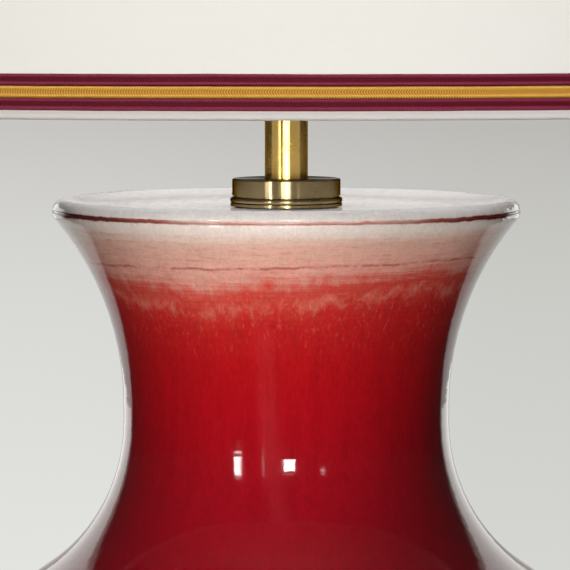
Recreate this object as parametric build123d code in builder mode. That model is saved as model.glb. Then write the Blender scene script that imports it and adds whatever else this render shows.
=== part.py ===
from build123d import *
from math import asin, atan2, cos, degrees, radians, sin, sqrt
import os

# A table lamp: a glazed jar on a turned wood base, with a brass neck, a harp and a
# cone shade trimmed with three rows of flat braid along each edge.
# Millimetres, +Z up, front towards -Y. The origin is on the table, on the lamp's axis.

# Clearances
slip = 0.15  # between parts that slide over each other when the lamp is put together
running = 0.05  # between parts that turn on each other
soft_gap = 0.1  # between a soft part and a curved neighbour

# Jar, with radii from its axis
jar_height = 338
jar_wall = 6
jar_top = 7  # thickness under the dished top
jar_floor = 7
lip_r = 70.7
lip_roll_r = 3.6
lip_groove_r = 0.5
lip_groove_drop = 3.3  # below the crest of the lip
dish_depth = 2.6  # below the crest of the lip
dish_turn = 25  # degrees that the lip rolls over before the dish begins
neck_arc_r = 87
waist_r = 49.5
waist_band = 5.5
throat_arc_r = 55
throat_turn = 56  # degrees that the outline turns between the waist and the shoulder
belly_r = 114
ankle_r = 66
foot_r = 70
foot_h = 9
foot_bevel = 4
foot_ring_w = 8
foot_recess = 4
jar_hole_play = 1.0  # round the rod, in the jar's floor and top

# Wood base
base_r = 86
base_h = 30
plinth_h = 10
plinth_round = 2.5
base_cove_r = 8
base_bead_r = 3.5
base_step = 1.5
seat_depth = 3  # of the round seat that the jar's foot stands in
seat_play = 1.2
cavity_r = 46
cavity_depth = 22
cover_r = 54
cover_t = 1.5
cover_play = 0.4
cover_screw_count = 3
cover_screw_circle_r = 50
felt_t = 2
felt_inner_r = 58
felt_margin = 4  # inside the base's edge
seat_ring_t = 1.5

# Threaded rod, its nuts and washers
rod_r = 4.95
rod_bore_r = 3.3
nut_flats = 14
lower_nut_h = 5
lower_washer_r = 14
lower_washer_t = 1.2
rod_tail = 1  # below the lower nut
rod_proud = 1  # above the socket's hub

# Small screws: heads, shanks and their driver slots
screw_r = 1.5
screw_head_r = 2.8
screw_head_h = 1.4
slot_w = 0.7
slot_depth = 0.7
cover_screw_length = 9

# Cord inlet through the back of the wood base
inlet_bore_r = 3.25
inlet_wall = 1.2
inlet_flange_r = 6.5
inlet_flange_t = 1.5
inlet_height = 12  # above the wood base's underside
inlet_reach = 2  # into the base's hollow

# Terminal block in the base's hollow
block_length = 20
block_width = 14
block_h = 11
block_round = 1.5
block_socket = 2  # depth that the lead goes into the block
block_screw_length = 8
block_x = -31
block_wire_r = 1.6
clamp_screw_r = 1.3
clamp_head_r = 1.9
clamp_screw_length = 5
clamp_pitch = 9
clamp_inset = 3.5

# Lead from the terminal block up the rod to the socket
lead_r = 2.1
lead_height = 4.5  # above the block's foot
lead_turn_r = 8.6

# Brass parts above the jar
top_washer_r = 15.5
top_washer_t = 0.4
collar_r = 16.4
collar_h = 5.0
collar_edge = 0.5
collar_groove = 0.5
collar_bead_r = 17.0
collar_bead_h = 1.9
collar_foot_r = 16.9
collar_foot_h = 0.8
tube_r = 6.5
tube_length = 47.6
tube_seat = 2  # depth of the tube's seat in the collar

# Harp saddle
saddle_w = 14
saddle_t = 1.6
saddle_bend_r = 7
saddle_arm_h = 22
saddle_nut_h = 3
post_h = 8

# Harp
harp_height = 229  # from the saddle to the shade's seat
harp_wire_r = 2.25
harp_leg_x = 29
harp_belly_x = 57
harp_straight = 24
harp_belly_low = 110  # above the saddle
harp_belly_high = 140
harp_crown_x = 33
harp_turns = (25, 75, 80, 34)  # bend radii from the foot to the crown
harp_boss_r = 5
harp_boss_h = 4
rest_r = 9
rest_t = 2
stud_r = 3.1
stud_proud = 10  # above the shade's hub
stud_bevel = 0.5
rivet_r = 2
sleeve_r = 4.4
sleeve_length = 14
sleeve_round = 1.2

# Socket
cap_hub_r = 8.2
cap_hub_h = 8
cap_wall = 1.0
cap_rim_r = 17.6
cap_rim_h = 6
cap_height = 21
shell_r = 16.5
shell_wall = 0.8
shell_height = 57
shell_bead_r = 0.8
liner_wall = 0.6
body_bottom = 14
body_top = 30
body_flat_x = 11
body_flat_h = 12
body_play = 0.2  # inside the liner
set_screw_head_r = 2
set_screw_height = 2.8
terminal_screw_length = 4
thread_shell_wall = 0.5
thread_shell_h = 23
contact_w = 6
contact_t = 0.6
contact_length = 9
contact_tip_x = 3
contact_rise = 3
terminal_height = 19

# Switch key
key_height = 24
key_shaft_r = 1.5
key_depth = 11  # into the socket's body
key_stem = 5  # outside the shell
key_bite = 1  # of the shaft into the grip
key_grip_l = 14
key_grip_w = 17
key_grip_t = 4.5
key_grip_round = 5
key_grip_edge = 1.4
key_play = 0.4  # round the shaft, in the shell and liner

# Bulb
bulb_length = 107
bulb_r = 30
bulb_neck_r = 12.2
bulb_neck_arc_r = 40
bulb_glass_t = 0.8
bulb_cap_r = 13.1
bulb_cap_h = 20
bulb_cap_wall = 0.4
bulb_cap_bevel = 2
bulb_cap_foot_r = 10.5
glass_tuck = 4  # of the glass inside the cap
bulb_button_r = 4.5
bulb_button_h = 1.6
bulb_insulator_h = 3.2
bulb_play = 0.2  # round the bulb's cap
stem_r = 3
stem_h = 24
stem_flare_h = 3
filament_r = 0.35
filament_rise = 20
filament_half = 13
filament_foot_x = 1.6
filament_foot_h = 4
filament_bend_r = 1.2

# Shade, measured on the face where fabric and backing meet
shade_height = 263.4
shade_bottom_r = 200
shade_top_r = 150
fabric_t = 0.6
backing_t = 0.5
shade_tuck = 1.0  # from the shade's edge to the fabric inside the hem
hem_t = 0.4
hem_h = 10.4
hem_foot = 5
ring_wire_r = 1.1
ring_web = 0.1
hub_r = 14
hub_t = 2
hub_drop = 12  # below the shade's top edge
arm_r = 1.4
arm_count = 3
arm_inset = 3.5  # from the hub's edge to where the arm's line starts
first_arm = 90  # degrees from +X, so that one arm points to the back
arm_play = 0.3

# Flat braid, three rows along each edge of the shade
braid_w = 2.85
braid_gap = 0.05
braid_edge_t = 0.6
braid_crown_t = 1.25
braid_groove_t = 0.65
braid_rise = 2.3  # from the shade's edge to the first braid

# Finial
finial_seat_r = 8
finial_seat_h = 3
finial_neck_r = 4.4
finial_neck_h = 8
finial_ball_r = 10.5
finial_tip_r = 3
finial_ball_sink = 1  # of the ball into its neck
finial_bore_play = 1  # above the stud

os.makedirs("parts", exist_ok=True)

STAND = (Align.CENTER, Align.CENTER, Align.MIN)
HANG = (Align.CENTER, Align.CENTER, Align.MAX)

# Heights of the wood base
wood_z = felt_t
wood_top_z = wood_z + base_h
cavity_z = wood_z + cavity_depth
jar_seat_z = wood_top_z - seat_depth
jar_z = jar_seat_z + seat_ring_t
inlet_z = wood_z + inlet_height

# The jar's outline: the neck's hollow curve meets the lip's roll, and the throat's
# hollow curve meets the shoulder's round, each with one common tangent
crest_z = jar_z + jar_height
dish_z = crest_z - dish_depth
ankle_z = jar_z + foot_h
lip_centre_r = lip_r - lip_roll_r
lip_centre_z = crest_z - lip_roll_r
neck_centre_r = waist_r + neck_arc_r
lip_reach = neck_arc_r + lip_roll_r
lip_climb = sqrt(lip_reach**2 - (neck_centre_r - lip_centre_r) ** 2)
lip_turn = degrees(asin(lip_climb / lip_reach))
waist_top_z = lip_centre_z - lip_climb
waist_low_z = waist_top_z - waist_band
throat_centre_r = waist_r + throat_arc_r
throat_out = 1 - cos(radians(throat_turn))
throat_drop = sin(radians(throat_turn))
shoulder_arc_r = (belly_r - waist_r) / throat_out - throat_arc_r
belly_z = waist_low_z - (throat_arc_r + shoulder_arc_r) * throat_drop
ankle_drop = belly_z - ankle_z
ankle_inset = belly_r - ankle_r
side_arc_r = (ankle_drop**2 + ankle_inset**2) / (2 * ankle_inset)
dish_arc_r = dish_depth / (1 - cos(radians(dish_turn))) - lip_roll_r

# Heights above the jar
collar_z = dish_z + top_washer_t
collar_bead_z = collar_z + collar_foot_h
collar_groove_z = collar_bead_z + collar_bead_h
collar_top_z = collar_groove_z + collar_groove + collar_h
tube_z = collar_top_z - tube_seat
saddle_z = tube_z + tube_length
saddle_nut_z = saddle_z + saddle_t
socket_z = saddle_nut_z + saddle_nut_h
saddle_tip_z = saddle_z + saddle_arm_h
harp_foot_z = saddle_tip_z + post_h
hub_z = saddle_z + harp_height
rest_z = hub_z - rest_t
harp_crown_z = rest_z - harp_wire_r
rod_top_z = socket_z + cap_hub_h + rod_proud
lower_nut_z = cavity_z - lower_washer_t - lower_nut_h
rod_z = lower_nut_z - rod_tail
key_z = socket_z + key_height
terminal_z = socket_z + terminal_height
body_top_z = socket_z + body_top
bulb_z = body_top_z + contact_rise
shade_top_z = hub_z + hub_drop
shade_bottom_z = shade_top_z - shade_height
finial_z = hub_z + hub_t
finial_ball_z = finial_seat_h / 2 + finial_neck_h + finial_ball_r - finial_ball_sink
set_screw_z = socket_z + set_screw_height
lead_z = wood_z + cover_t + lead_height

rod_hole_r = rod_r + slip
liner_r = shell_r - shell_wall - soft_gap
inlet_r = inlet_bore_r + inlet_wall


def ring(outer_r, inner_r, low_z, height):
    """A flat ring about the lamp's axis."""
    with BuildPart(Plane.XY.offset(low_z)) as flat_ring:
        Cylinder(outer_r, height, align=STAND)
        Cylinder(inner_r, height, align=STAND, mode=Mode.SUBTRACT)
    return flat_ring.part


def nut(low_z, height):
    """A hexagon nut on the rod."""
    with BuildPart() as hexagon:
        with BuildSketch(Plane.XY.offset(low_z)):
            RegularPolygon(nut_flats / 2, 6, major_radius=False)
            Circle(rod_hole_r, mode=Mode.SUBTRACT)
        extrude(amount=height)
    return hexagon.part


def screw(seat, length, shank_r=screw_r, head_r=screw_head_r):
    """A slotted screw. The seat's plane lies under the head and faces away from the shank."""
    with BuildPart(seat) as one_screw:
        Cylinder(head_r, screw_head_h, align=STAND)
        Cylinder(shank_r, length, align=HANG)
        with Locations((0, 0, screw_head_h - slot_depth)):
            Box(2 * head_r, slot_w, slot_depth, align=STAND, mode=Mode.SUBTRACT)
    return one_screw.part


# Felt ring that the lamp stands on
base_felt = ring(base_r - felt_margin, felt_inner_r, 0, felt_t)
base_felt.label = "base_felt"
export_step(base_felt, "parts/base_felt.step")

# Wood base: a turned plinth, cove and bead, hollow underneath
bead_z = wood_z + plinth_h + base_cove_r + base_step
cove_r = base_r - plinth_round - base_cove_r
with BuildPart() as wood_base:
    with BuildSketch(Plane.XZ):
        with BuildLine():
            Line((0, wood_z), (base_r, wood_z))
            Line((base_r, wood_z), (base_r, wood_z + plinth_h - plinth_round))
            CenterArc((base_r - plinth_round, wood_z + plinth_h - plinth_round), plinth_round, 0, 90)
            CenterArc((base_r - plinth_round, wood_z + plinth_h + base_cove_r), base_cove_r, 180, 90)
            Line((cove_r, bead_z - base_step), (cove_r + base_step, bead_z - base_step))
            Line((cove_r + base_step, bead_z - base_step), (cove_r + base_step, bead_z))
            CenterArc((cove_r + base_step, bead_z + base_bead_r), base_bead_r, -90, 180)
            Line((cove_r + base_step, bead_z + 2 * base_bead_r), (cove_r, bead_z + 2 * base_bead_r))
            Line((cove_r, bead_z + 2 * base_bead_r), (cove_r, wood_top_z))
            Line((cove_r, wood_top_z), (0, wood_top_z))
            Line((0, wood_top_z), (0, wood_z))
        make_face()
    revolve(axis=Axis.Z)
    with Locations((0, 0, jar_seat_z)):
        Cylinder(foot_r + seat_play, seat_depth, align=STAND, mode=Mode.SUBTRACT)
    with Locations((0, 0, wood_z)):
        Cylinder(cavity_r, cavity_depth, align=STAND, mode=Mode.SUBTRACT)
        Cylinder(cover_r + cover_play, cover_t, align=STAND, mode=Mode.SUBTRACT)
        Cylinder(rod_hole_r, base_h, align=STAND, mode=Mode.SUBTRACT)
    with Locations(Plane.XY.offset(wood_z + cover_t)):
        with PolarLocations(cover_screw_circle_r, cover_screw_count):
            Cylinder(screw_r + slip, cover_screw_length, align=STAND, mode=Mode.SUBTRACT)
    with BuildSketch(Plane.XZ.offset(-cavity_r / 2)):
        with Locations((0, inlet_z)):
            Circle(inlet_r + slip)
    extrude(amount=-base_r, mode=Mode.SUBTRACT)
wood_base.part.label = "wood_base"
export_step(wood_base.part, "parts/wood_base.step")

# Bottom cover, let into the wood, with its screws
with BuildPart() as base_cover:
    with BuildSketch(Plane.XY.offset(wood_z)):
        Circle(cover_r)
        with PolarLocations(cover_screw_circle_r, cover_screw_count):
            Circle(screw_r + slip, mode=Mode.SUBTRACT)
        with Locations((block_x, 0)):
            Circle(screw_r + slip, mode=Mode.SUBTRACT)
    extrude(amount=cover_t)
base_cover.part.label = "base_cover"
export_step(base_cover.part, "parts/base_cover.step")

cover_screw_list = []
for turn in range(cover_screw_count):
    place = Vector(cover_screw_circle_r, 0, 0).rotate(Axis.Z, 360 * turn / cover_screw_count)
    under = Plane((place.X, place.Y, wood_z), x_dir=(1, 0, 0), z_dir=(0, 0, -1))
    cover_screw_list.append(screw(under, cover_screw_length))
cover_screws = Compound(label="cover_screws", children=cover_screw_list)
export_step(cover_screws, "parts/cover_screws.step")

# Felt ring between the wood and the jar's foot
base_seat_ring = ring(foot_r, foot_r - foot_ring_w, jar_seat_z, seat_ring_t)
base_seat_ring.label = "base_seat_ring"
export_step(base_seat_ring, "parts/base_seat_ring.step")


def jar_side(inset, low_z, high_z):
    """Draws the jar's side between two heights, moved inwards by inset from its glazed face."""
    side_r = side_arc_r - inset
    side_sweep = degrees(asin((belly_z - low_z) / side_r))
    neck_r = neck_arc_r + inset
    neck_sweep = degrees(asin((high_z - waist_top_z) / neck_r))
    CenterArc((belly_r - side_arc_r, belly_z), side_r, -side_sweep, side_sweep)
    CenterArc((belly_r - shoulder_arc_r, belly_z), shoulder_arc_r - inset, 0, throat_turn)
    CenterArc((throat_centre_r, waist_low_z), throat_arc_r + inset, 180, throat_turn)
    Line((waist_r - inset, waist_low_z), (waist_r - inset, waist_top_z))
    CenterArc((neck_centre_r, waist_top_z), neck_r, 180 - neck_sweep, neck_sweep)


def side_radius(height, inset):
    """The radius of the jar's side below the belly."""
    return belly_r - side_arc_r + sqrt((side_arc_r - inset) ** 2 - (belly_z - height) ** 2)


def neck_radius(height, inset):
    """The radius of the jar's side above the waist."""
    return neck_centre_r - sqrt((neck_arc_r + inset) ** 2 - (height - waist_top_z) ** 2)


# Jar: thrown, hollow and closed on top by its own dished face
lip_end = 90 + dish_turn
neck_end_z = waist_top_z + neck_arc_r * sin(radians(lip_turn))
dish_centre_r = lip_centre_r + (lip_roll_r + dish_arc_r) * cos(radians(lip_end))
foot_inner_r = foot_r - foot_ring_w
jar_floor_z = jar_z + foot_recess + jar_floor
jar_ceiling_z = dish_z - jar_top
with BuildPart() as jar:
    with BuildSketch(Plane.XZ):
        with BuildLine():
            jar_side(0, ankle_z, neck_end_z)
            CenterArc((lip_centre_r, lip_centre_z), lip_roll_r, -lip_turn, lip_turn + lip_end)
            CenterArc((dish_centre_r, dish_z + dish_arc_r), dish_arc_r, -90, dish_turn)
            Polyline(
                (dish_centre_r, dish_z),
                (0, dish_z),
                (0, jar_z + foot_recess),
                (foot_inner_r, jar_z + foot_recess),
                (foot_inner_r, jar_z),
                (foot_r, jar_z),
                (foot_r, ankle_z - foot_bevel),
                (ankle_r, ankle_z),
            )
        make_face()
    revolve(axis=Axis.Z)
    with BuildSketch(Plane.XZ):
        with BuildLine():
            jar_side(jar_wall, jar_floor_z, jar_ceiling_z)
            Polyline(
                (neck_radius(jar_ceiling_z, jar_wall), jar_ceiling_z),
                (0, jar_ceiling_z),
                (0, jar_floor_z),
                (side_radius(jar_floor_z, jar_wall), jar_floor_z),
            )
        make_face()
        with Locations((lip_r, crest_z - lip_groove_drop)):
            Circle(lip_groove_r)
    revolve(axis=Axis.Z, mode=Mode.SUBTRACT)
    with Locations((0, 0, jar_z)):
        Cylinder(rod_r + jar_hole_play, jar_height, align=STAND, mode=Mode.SUBTRACT)
jar.part.label = "jar"
export_step(jar.part, "parts/jar.step")

# Hollow rod that ties the lamp together, with its nut and washer under the wood
threaded_rod = ring(rod_r, rod_bore_r, rod_z, rod_top_z - rod_z)
threaded_rod.label = "threaded_rod"
export_step(threaded_rod, "parts/threaded_rod.step")

lower_washer = ring(lower_washer_r, rod_hole_r, cavity_z - lower_washer_t, lower_washer_t)
lower_washer.label = "lower_washer"
export_step(lower_washer, "parts/lower_washer.step")

lower_nut = nut(lower_nut_z, lower_nut_h)
lower_nut.label = "lower_nut"
export_step(lower_nut, "parts/lower_nut.step")

# Flanged bushing for the cord, through the back of the wood
inlet_inner_y = cavity_r - inlet_reach
inlet_flange_y = base_r
with BuildPart(Plane((0, inlet_inner_y, inlet_z), x_dir=(1, 0, 0), z_dir=(0, 1, 0))) as inlet:
    Cylinder(inlet_r, inlet_flange_y - inlet_inner_y, align=STAND)
    with Locations((0, 0, inlet_flange_y - inlet_inner_y)):
        Cylinder(inlet_flange_r, inlet_flange_t, align=STAND)
    bushing_rim = inlet.edges().filter_by(GeomType.CIRCLE).sort_by(Axis.Y)[-1]
    fillet(bushing_rim, inlet_flange_t / 2)
    Cylinder(inlet_bore_r, 2 * base_r, mode=Mode.SUBTRACT)
inlet.part.label = "cord_inlet"
export_step(inlet.part, "parts/cord_inlet.step")

# Two-way terminal block on the bottom cover, with its clamp screws and mounting screw
block_z = wood_z + cover_t
block_face_x = block_x + block_width / 2
clamp_half_x = block_width / 2 - clamp_inset
clamp_places = [
    (block_x + side * clamp_half_x, end * clamp_pitch / 2, block_z + block_h)
    for side in (-1, 1)
    for end in (-1, 1)
]
with BuildPart() as terminal_block:
    with BuildSketch(Plane.XY.offset(block_z)):
        with Locations((block_x, 0)):
            RectangleRounded(block_width, block_length, block_round)
    extrude(amount=block_h)
    with Locations(Plane((block_face_x, 0, lead_z), x_dir=(0, 1, 0), z_dir=(-1, 0, 0))):
        Cylinder(lead_r + soft_gap, block_socket, align=STAND, mode=Mode.SUBTRACT)
        with GridLocations(clamp_pitch, 0, 2, 1):
            Cylinder(block_wire_r, block_width, align=STAND, mode=Mode.SUBTRACT)
    with Locations(*clamp_places):
        Cylinder(clamp_screw_r + slip, clamp_screw_length, align=HANG, mode=Mode.SUBTRACT)
    with Locations((block_x, 0, block_z)):
        Cylinder(screw_r + slip, block_screw_length, align=STAND, mode=Mode.SUBTRACT)
terminal_block.part.label = "terminal_block"
export_step(terminal_block.part, "parts/terminal_block.step")

clamp_screw_list = [
    screw(Plane(place), clamp_screw_length, clamp_screw_r, clamp_head_r) for place in clamp_places
]
clamp_screws = Compound(label="clamp_screws", children=clamp_screw_list)
export_step(clamp_screws, "parts/clamp_screws.step")

under_block = Plane((block_x, 0, wood_z), x_dir=(1, 0, 0), z_dir=(0, 0, -1))
block_screw = screw(under_block, block_screw_length)
block_screw.label = "block_screw"
export_step(block_screw, "parts/block_screw.step")

# Lead from the block, round one bend and up inside the rod to the socket's body
lead_start_x = block_face_x - block_socket
with BuildPart() as inner_lead:
    with BuildLine() as lead_route:
        FilletPolyline(
            (lead_start_x, 0, lead_z),
            (0, 0, lead_z),
            (0, 0, socket_z + body_bottom),
            radius=lead_turn_r,
        )
    with BuildSketch(Plane(lead_route.line @ 0, z_dir=lead_route.line % 0)):
        Circle(lead_r)
    sweep()
inner_lead.part.label = "inner_lead"
export_step(inner_lead.part, "parts/inner_lead.step")
print("inner lead bend radius", lead_turn_r, "length", round(lead_route.wire().length, 1))

# Thin washer between the collar and the jar's glaze
top_washer = ring(top_washer_r, rod_hole_r, dish_z, top_washer_t)
top_washer.label = "top_washer"
export_step(top_washer, "parts/top_washer.step")

# Turned brass collar: a thin foot, a rounded bead, a fine groove and a straight tier
bead_half = collar_bead_h / 2
with BuildPart() as collar:
    with BuildSketch(Plane.XZ):
        with BuildLine():
            Polyline(
                (collar_bead_r - bead_half, collar_bead_z),
                (collar_foot_r, collar_bead_z),
                (collar_foot_r, collar_z),
                (rod_hole_r, collar_z),
                (rod_hole_r, tube_z),
                (tube_r + slip, tube_z),
                (tube_r + slip, collar_top_z),
                (collar_r - collar_edge, collar_top_z),
            )
            CenterArc((collar_r - collar_edge, collar_top_z - collar_edge), collar_edge, 90, -90)
            Polyline(
                (collar_r, collar_top_z - collar_edge),
                (collar_r, collar_groove_z + collar_groove),
                (collar_r - collar_groove, collar_groove_z + collar_groove),
                (collar_r - collar_groove, collar_groove_z),
                (collar_bead_r - bead_half, collar_groove_z),
            )
            CenterArc((collar_bead_r - bead_half, collar_bead_z + bead_half), bead_half, 90, -180)
        make_face()
    revolve(axis=Axis.Z)
collar.part.label = "collar"
export_step(collar.part, "parts/collar.step")

# Plain brass tube over the rod, seated in the collar
neck_tube = ring(tube_r, rod_hole_r, tube_z, tube_length)
neck_tube.label = "neck_tube"
export_step(neck_tube, "parts/neck_tube.step")

# Harp saddle: a bent strip with a round post at the top of each arm
with BuildPart() as harp_saddle:
    with BuildSketch(Plane.XZ):
        with BuildLine():
            FilletPolyline(
                (-harp_leg_x, saddle_tip_z),
                (-harp_leg_x, saddle_z + saddle_t / 2),
                (harp_leg_x, saddle_z + saddle_t / 2),
                (harp_leg_x, saddle_tip_z),
                radius=saddle_bend_r,
            )
        trace(line_width=saddle_t)
    extrude(amount=saddle_w / 2, both=True)
    with Locations((-harp_leg_x, 0, saddle_tip_z), (harp_leg_x, 0, saddle_tip_z)):
        Cylinder(harp_wire_r, post_h, align=STAND)
    with Locations((0, 0, saddle_z)):
        Cylinder(rod_hole_r, saddle_t, align=STAND, mode=Mode.SUBTRACT)
harp_saddle.part.label = "harp_saddle"
export_step(harp_saddle.part, "parts/harp_saddle.step")

saddle_nut = nut(saddle_nut_z, saddle_nut_h)
saddle_nut.label = "saddle_nut"
export_step(saddle_nut, "parts/saddle_nut.step")

# Harp: one bent wire with a flat boss at its crown
harp_side = (
    (harp_leg_x, harp_foot_z),
    (harp_leg_x, harp_foot_z + harp_straight),
    (harp_belly_x, saddle_z + harp_belly_low),
    (harp_belly_x, saddle_z + harp_belly_high),
    (harp_crown_x, harp_crown_z),
)
harp_other_side = tuple((-x, z) for x, z in reversed(harp_side))
with BuildPart() as harp:
    with BuildLine(Plane.XZ):
        FilletPolyline(*harp_side, *harp_other_side, radius=harp_turns + harp_turns[::-1])
    with BuildSketch(Plane.XY.offset(harp_foot_z)):
        with Locations((harp_leg_x, 0)):
            Circle(harp_wire_r)
    sweep()
    with Locations((0, 0, rest_z - harp_boss_h)):
        Cylinder(harp_boss_r, harp_boss_h, align=STAND)
    with Locations((0, 0, rest_z - 2 * harp_wire_r)):
        Cylinder(rivet_r + running, 2 * harp_wire_r, align=STAND, mode=Mode.SUBTRACT)
harp.part.label = "harp"
export_step(harp.part, "parts/harp.step")

# Round rest with its stud, riveted to the harp's crown
with BuildPart() as harp_rest:
    with Locations((0, 0, rest_z)):
        Cylinder(rest_r, rest_t, align=STAND)
        Cylinder(stud_r, rest_t + hub_t + stud_proud, align=STAND)
        Cylinder(rivet_r, 2 * harp_wire_r, align=HANG)
    stud_end = harp_rest.edges().filter_by(GeomType.CIRCLE).sort_by(Axis.Z)[-1]
    chamfer(stud_end, stud_bevel)
harp_rest.part.label = "harp_rest"
export_step(harp_rest.part, "parts/harp_rest.step")

# Sleeves that lock the harp's feet onto the saddle's posts
for side, leg_x in (("left", -harp_leg_x), ("right", harp_leg_x)):
    with BuildPart(Plane((leg_x, 0, saddle_tip_z))) as sleeve:
        Cylinder(sleeve_r, sleeve_length, align=STAND)
        fillet(sleeve.edges().filter_by(GeomType.CIRCLE).sort_by(Axis.Z)[-1], sleeve_round)
        Cylinder(harp_wire_r + running, 2 * sleeve_length, mode=Mode.SUBTRACT)
    sleeve.part.label = f"harp_sleeve_{side}"
    export_step(sleeve.part, f"parts/harp_sleeve_{side}.step")

# Socket cap: a hub on the rod that opens into a cup
cap_bowl_r = cap_rim_r - cap_hub_r
cap_bowl_z = socket_z + cap_height - cap_rim_h
cap_floor_z = cap_bowl_z - cap_bowl_r + cap_wall
with BuildPart() as socket_cap:
    with BuildSketch(Plane.XZ):
        with BuildLine():
            Polyline(
                (cap_hub_r, cap_bowl_z - cap_bowl_r),
                (cap_hub_r, socket_z),
                (rod_hole_r, socket_z),
                (rod_hole_r, socket_z + cap_hub_h),
                (rod_hole_r + cap_wall, socket_z + cap_hub_h),
                (rod_hole_r + cap_wall, cap_floor_z),
                (cap_hub_r, cap_floor_z),
            )
            CenterArc((cap_hub_r, cap_bowl_z), cap_bowl_r - cap_wall, -90, 90)
            Polyline(
                (cap_rim_r - cap_wall, cap_bowl_z),
                (cap_rim_r - cap_wall, cap_bowl_z + cap_rim_h),
                (cap_rim_r, cap_bowl_z + cap_rim_h),
                (cap_rim_r, cap_bowl_z),
            )
            CenterArc((cap_hub_r, cap_bowl_z), cap_bowl_r, 0, -90)
        make_face()
    revolve(axis=Axis.Z)
    with Locations(Plane((0, 0, set_screw_z), x_dir=(1, 0, 0), z_dir=(0, 1, 0))):
        Cylinder(screw_r + slip, cap_hub_r, align=STAND, mode=Mode.SUBTRACT)
socket_cap.part.label = "socket_cap"
export_step(socket_cap.part, "parts/socket_cap.step")

hub_face = Plane((0, cap_hub_r, set_screw_z), x_dir=(1, 0, 0), z_dir=(0, 1, 0))
socket_set_screw = screw(hub_face, cap_hub_r - rod_hole_r, screw_r, set_screw_head_r)
socket_set_screw.label = "socket_set_screw"
export_step(socket_set_screw, "parts/socket_set_screw.step")

# Socket shell and the card liner inside it, both pierced in front for the switch key
key_axis = Plane((0, 0, key_z), x_dir=(1, 0, 0), z_dir=(0, -1, 0))
with BuildPart() as socket_shell:
    with Locations((0, 0, cap_bowl_z)):
        Cylinder(shell_r, shell_height - cap_height + cap_rim_h, align=STAND)
    with BuildSketch(Plane.XZ):
        with Locations((shell_r - shell_bead_r / 2, socket_z + shell_height)):
            Circle(shell_bead_r)
    revolve(axis=Axis.Z)
    with Locations((0, 0, cap_bowl_z)):
        Cylinder(shell_r - shell_wall, shell_height, align=STAND, mode=Mode.SUBTRACT)
    with Locations(key_axis):
        Cylinder(key_shaft_r + key_play, cap_rim_r, align=STAND, mode=Mode.SUBTRACT)
socket_shell.part.label = "socket_shell"
export_step(socket_shell.part, "parts/socket_shell.step")

with BuildPart() as socket_liner:
    with Locations((0, 0, cap_bowl_z)):
        Cylinder(liner_r, shell_height - cap_height, align=STAND)
        Cylinder(liner_r - liner_wall, shell_height, align=STAND, mode=Mode.SUBTRACT)
    with Locations(key_axis):
        Cylinder(key_shaft_r + key_play, cap_rim_r, align=STAND, mode=Mode.SUBTRACT)
socket_liner.part.label = "socket_liner"
export_step(socket_liner.part, "parts/socket_liner.step")

# Moulded socket body with two flats for its terminals and a bore for the switch key
body_r = liner_r - liner_wall - body_play
terminal_faces = [
    Plane((side * body_flat_x, 0, terminal_z), x_dir=(0, 1, 0), z_dir=(side, 0, 0))
    for side in (-1, 1)
]
with BuildPart() as socket_body:
    with Locations((0, 0, socket_z + body_bottom)):
        Cylinder(body_r, body_top - body_bottom, align=STAND)
    with BuildSketch(Plane.XY.offset(socket_z + body_bottom)):
        Circle(body_r)
        Rectangle(2 * body_flat_x, 2 * body_r, mode=Mode.SUBTRACT)
    extrude(amount=body_flat_h, mode=Mode.SUBTRACT)
    with Locations(*terminal_faces):
        Cylinder(screw_r + slip, terminal_screw_length, align=HANG, mode=Mode.SUBTRACT)
    with Locations(key_axis.offset(body_r - key_depth)):
        Cylinder(key_shaft_r + running, body_r, align=STAND, mode=Mode.SUBTRACT)
socket_body.part.label = "socket_body"
export_step(socket_body.part, "parts/socket_body.step")

terminal_screw_list = [screw(face, terminal_screw_length) for face in terminal_faces]
terminal_screws = Compound(label="terminal_screws", children=terminal_screw_list)
export_step(terminal_screws, "parts/terminal_screws.step")

# Threaded shell that takes the bulb, and the spring contact under it
thread_shell_bore_r = bulb_cap_r + bulb_play
thread_shell = ring(
    thread_shell_bore_r + thread_shell_wall, thread_shell_bore_r, body_top_z, thread_shell_h
)
thread_shell.label = "thread_shell"
export_step(thread_shell, "parts/thread_shell.step")

contact_low_z = body_top_z + contact_t / 2
contact_high_z = bulb_z - contact_t / 2
with BuildPart() as centre_contact:
    with BuildSketch(Plane.XZ):
        with BuildLine():
            FilletPolyline(
                (contact_length / 2, contact_low_z),
                (-contact_length / 2, contact_low_z),
                (-contact_length / 2, contact_high_z),
                (contact_tip_x, contact_high_z),
                radius=contact_t,
            )
        trace(line_width=contact_t)
    extrude(amount=contact_w / 2, both=True)
centre_contact.part.label = "centre_contact"
export_step(centre_contact.part, "parts/centre_contact.step")

# Switch key: a round shaft into the socket's body with a flat grip in front
grip_y = -cap_rim_r - key_stem
with BuildPart() as switch_key:
    with Locations(key_axis.offset(body_r - key_depth)):
        Cylinder(key_shaft_r, -grip_y - body_r + key_depth + key_bite, align=STAND)
    with BuildSketch(Plane.XY.offset(key_z)):
        with Locations((0, grip_y - key_grip_l / 2)):
            RectangleRounded(key_grip_w, key_grip_l, key_grip_round)
    extrude(amount=key_grip_t / 2, both=True)
    grip_rims = switch_key.faces().filter_by(Axis.Z).edges()
    fillet(grip_rims, key_grip_edge)
switch_key.part.label = "switch_key"
export_step(switch_key.part, "parts/switch_key.step")

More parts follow.
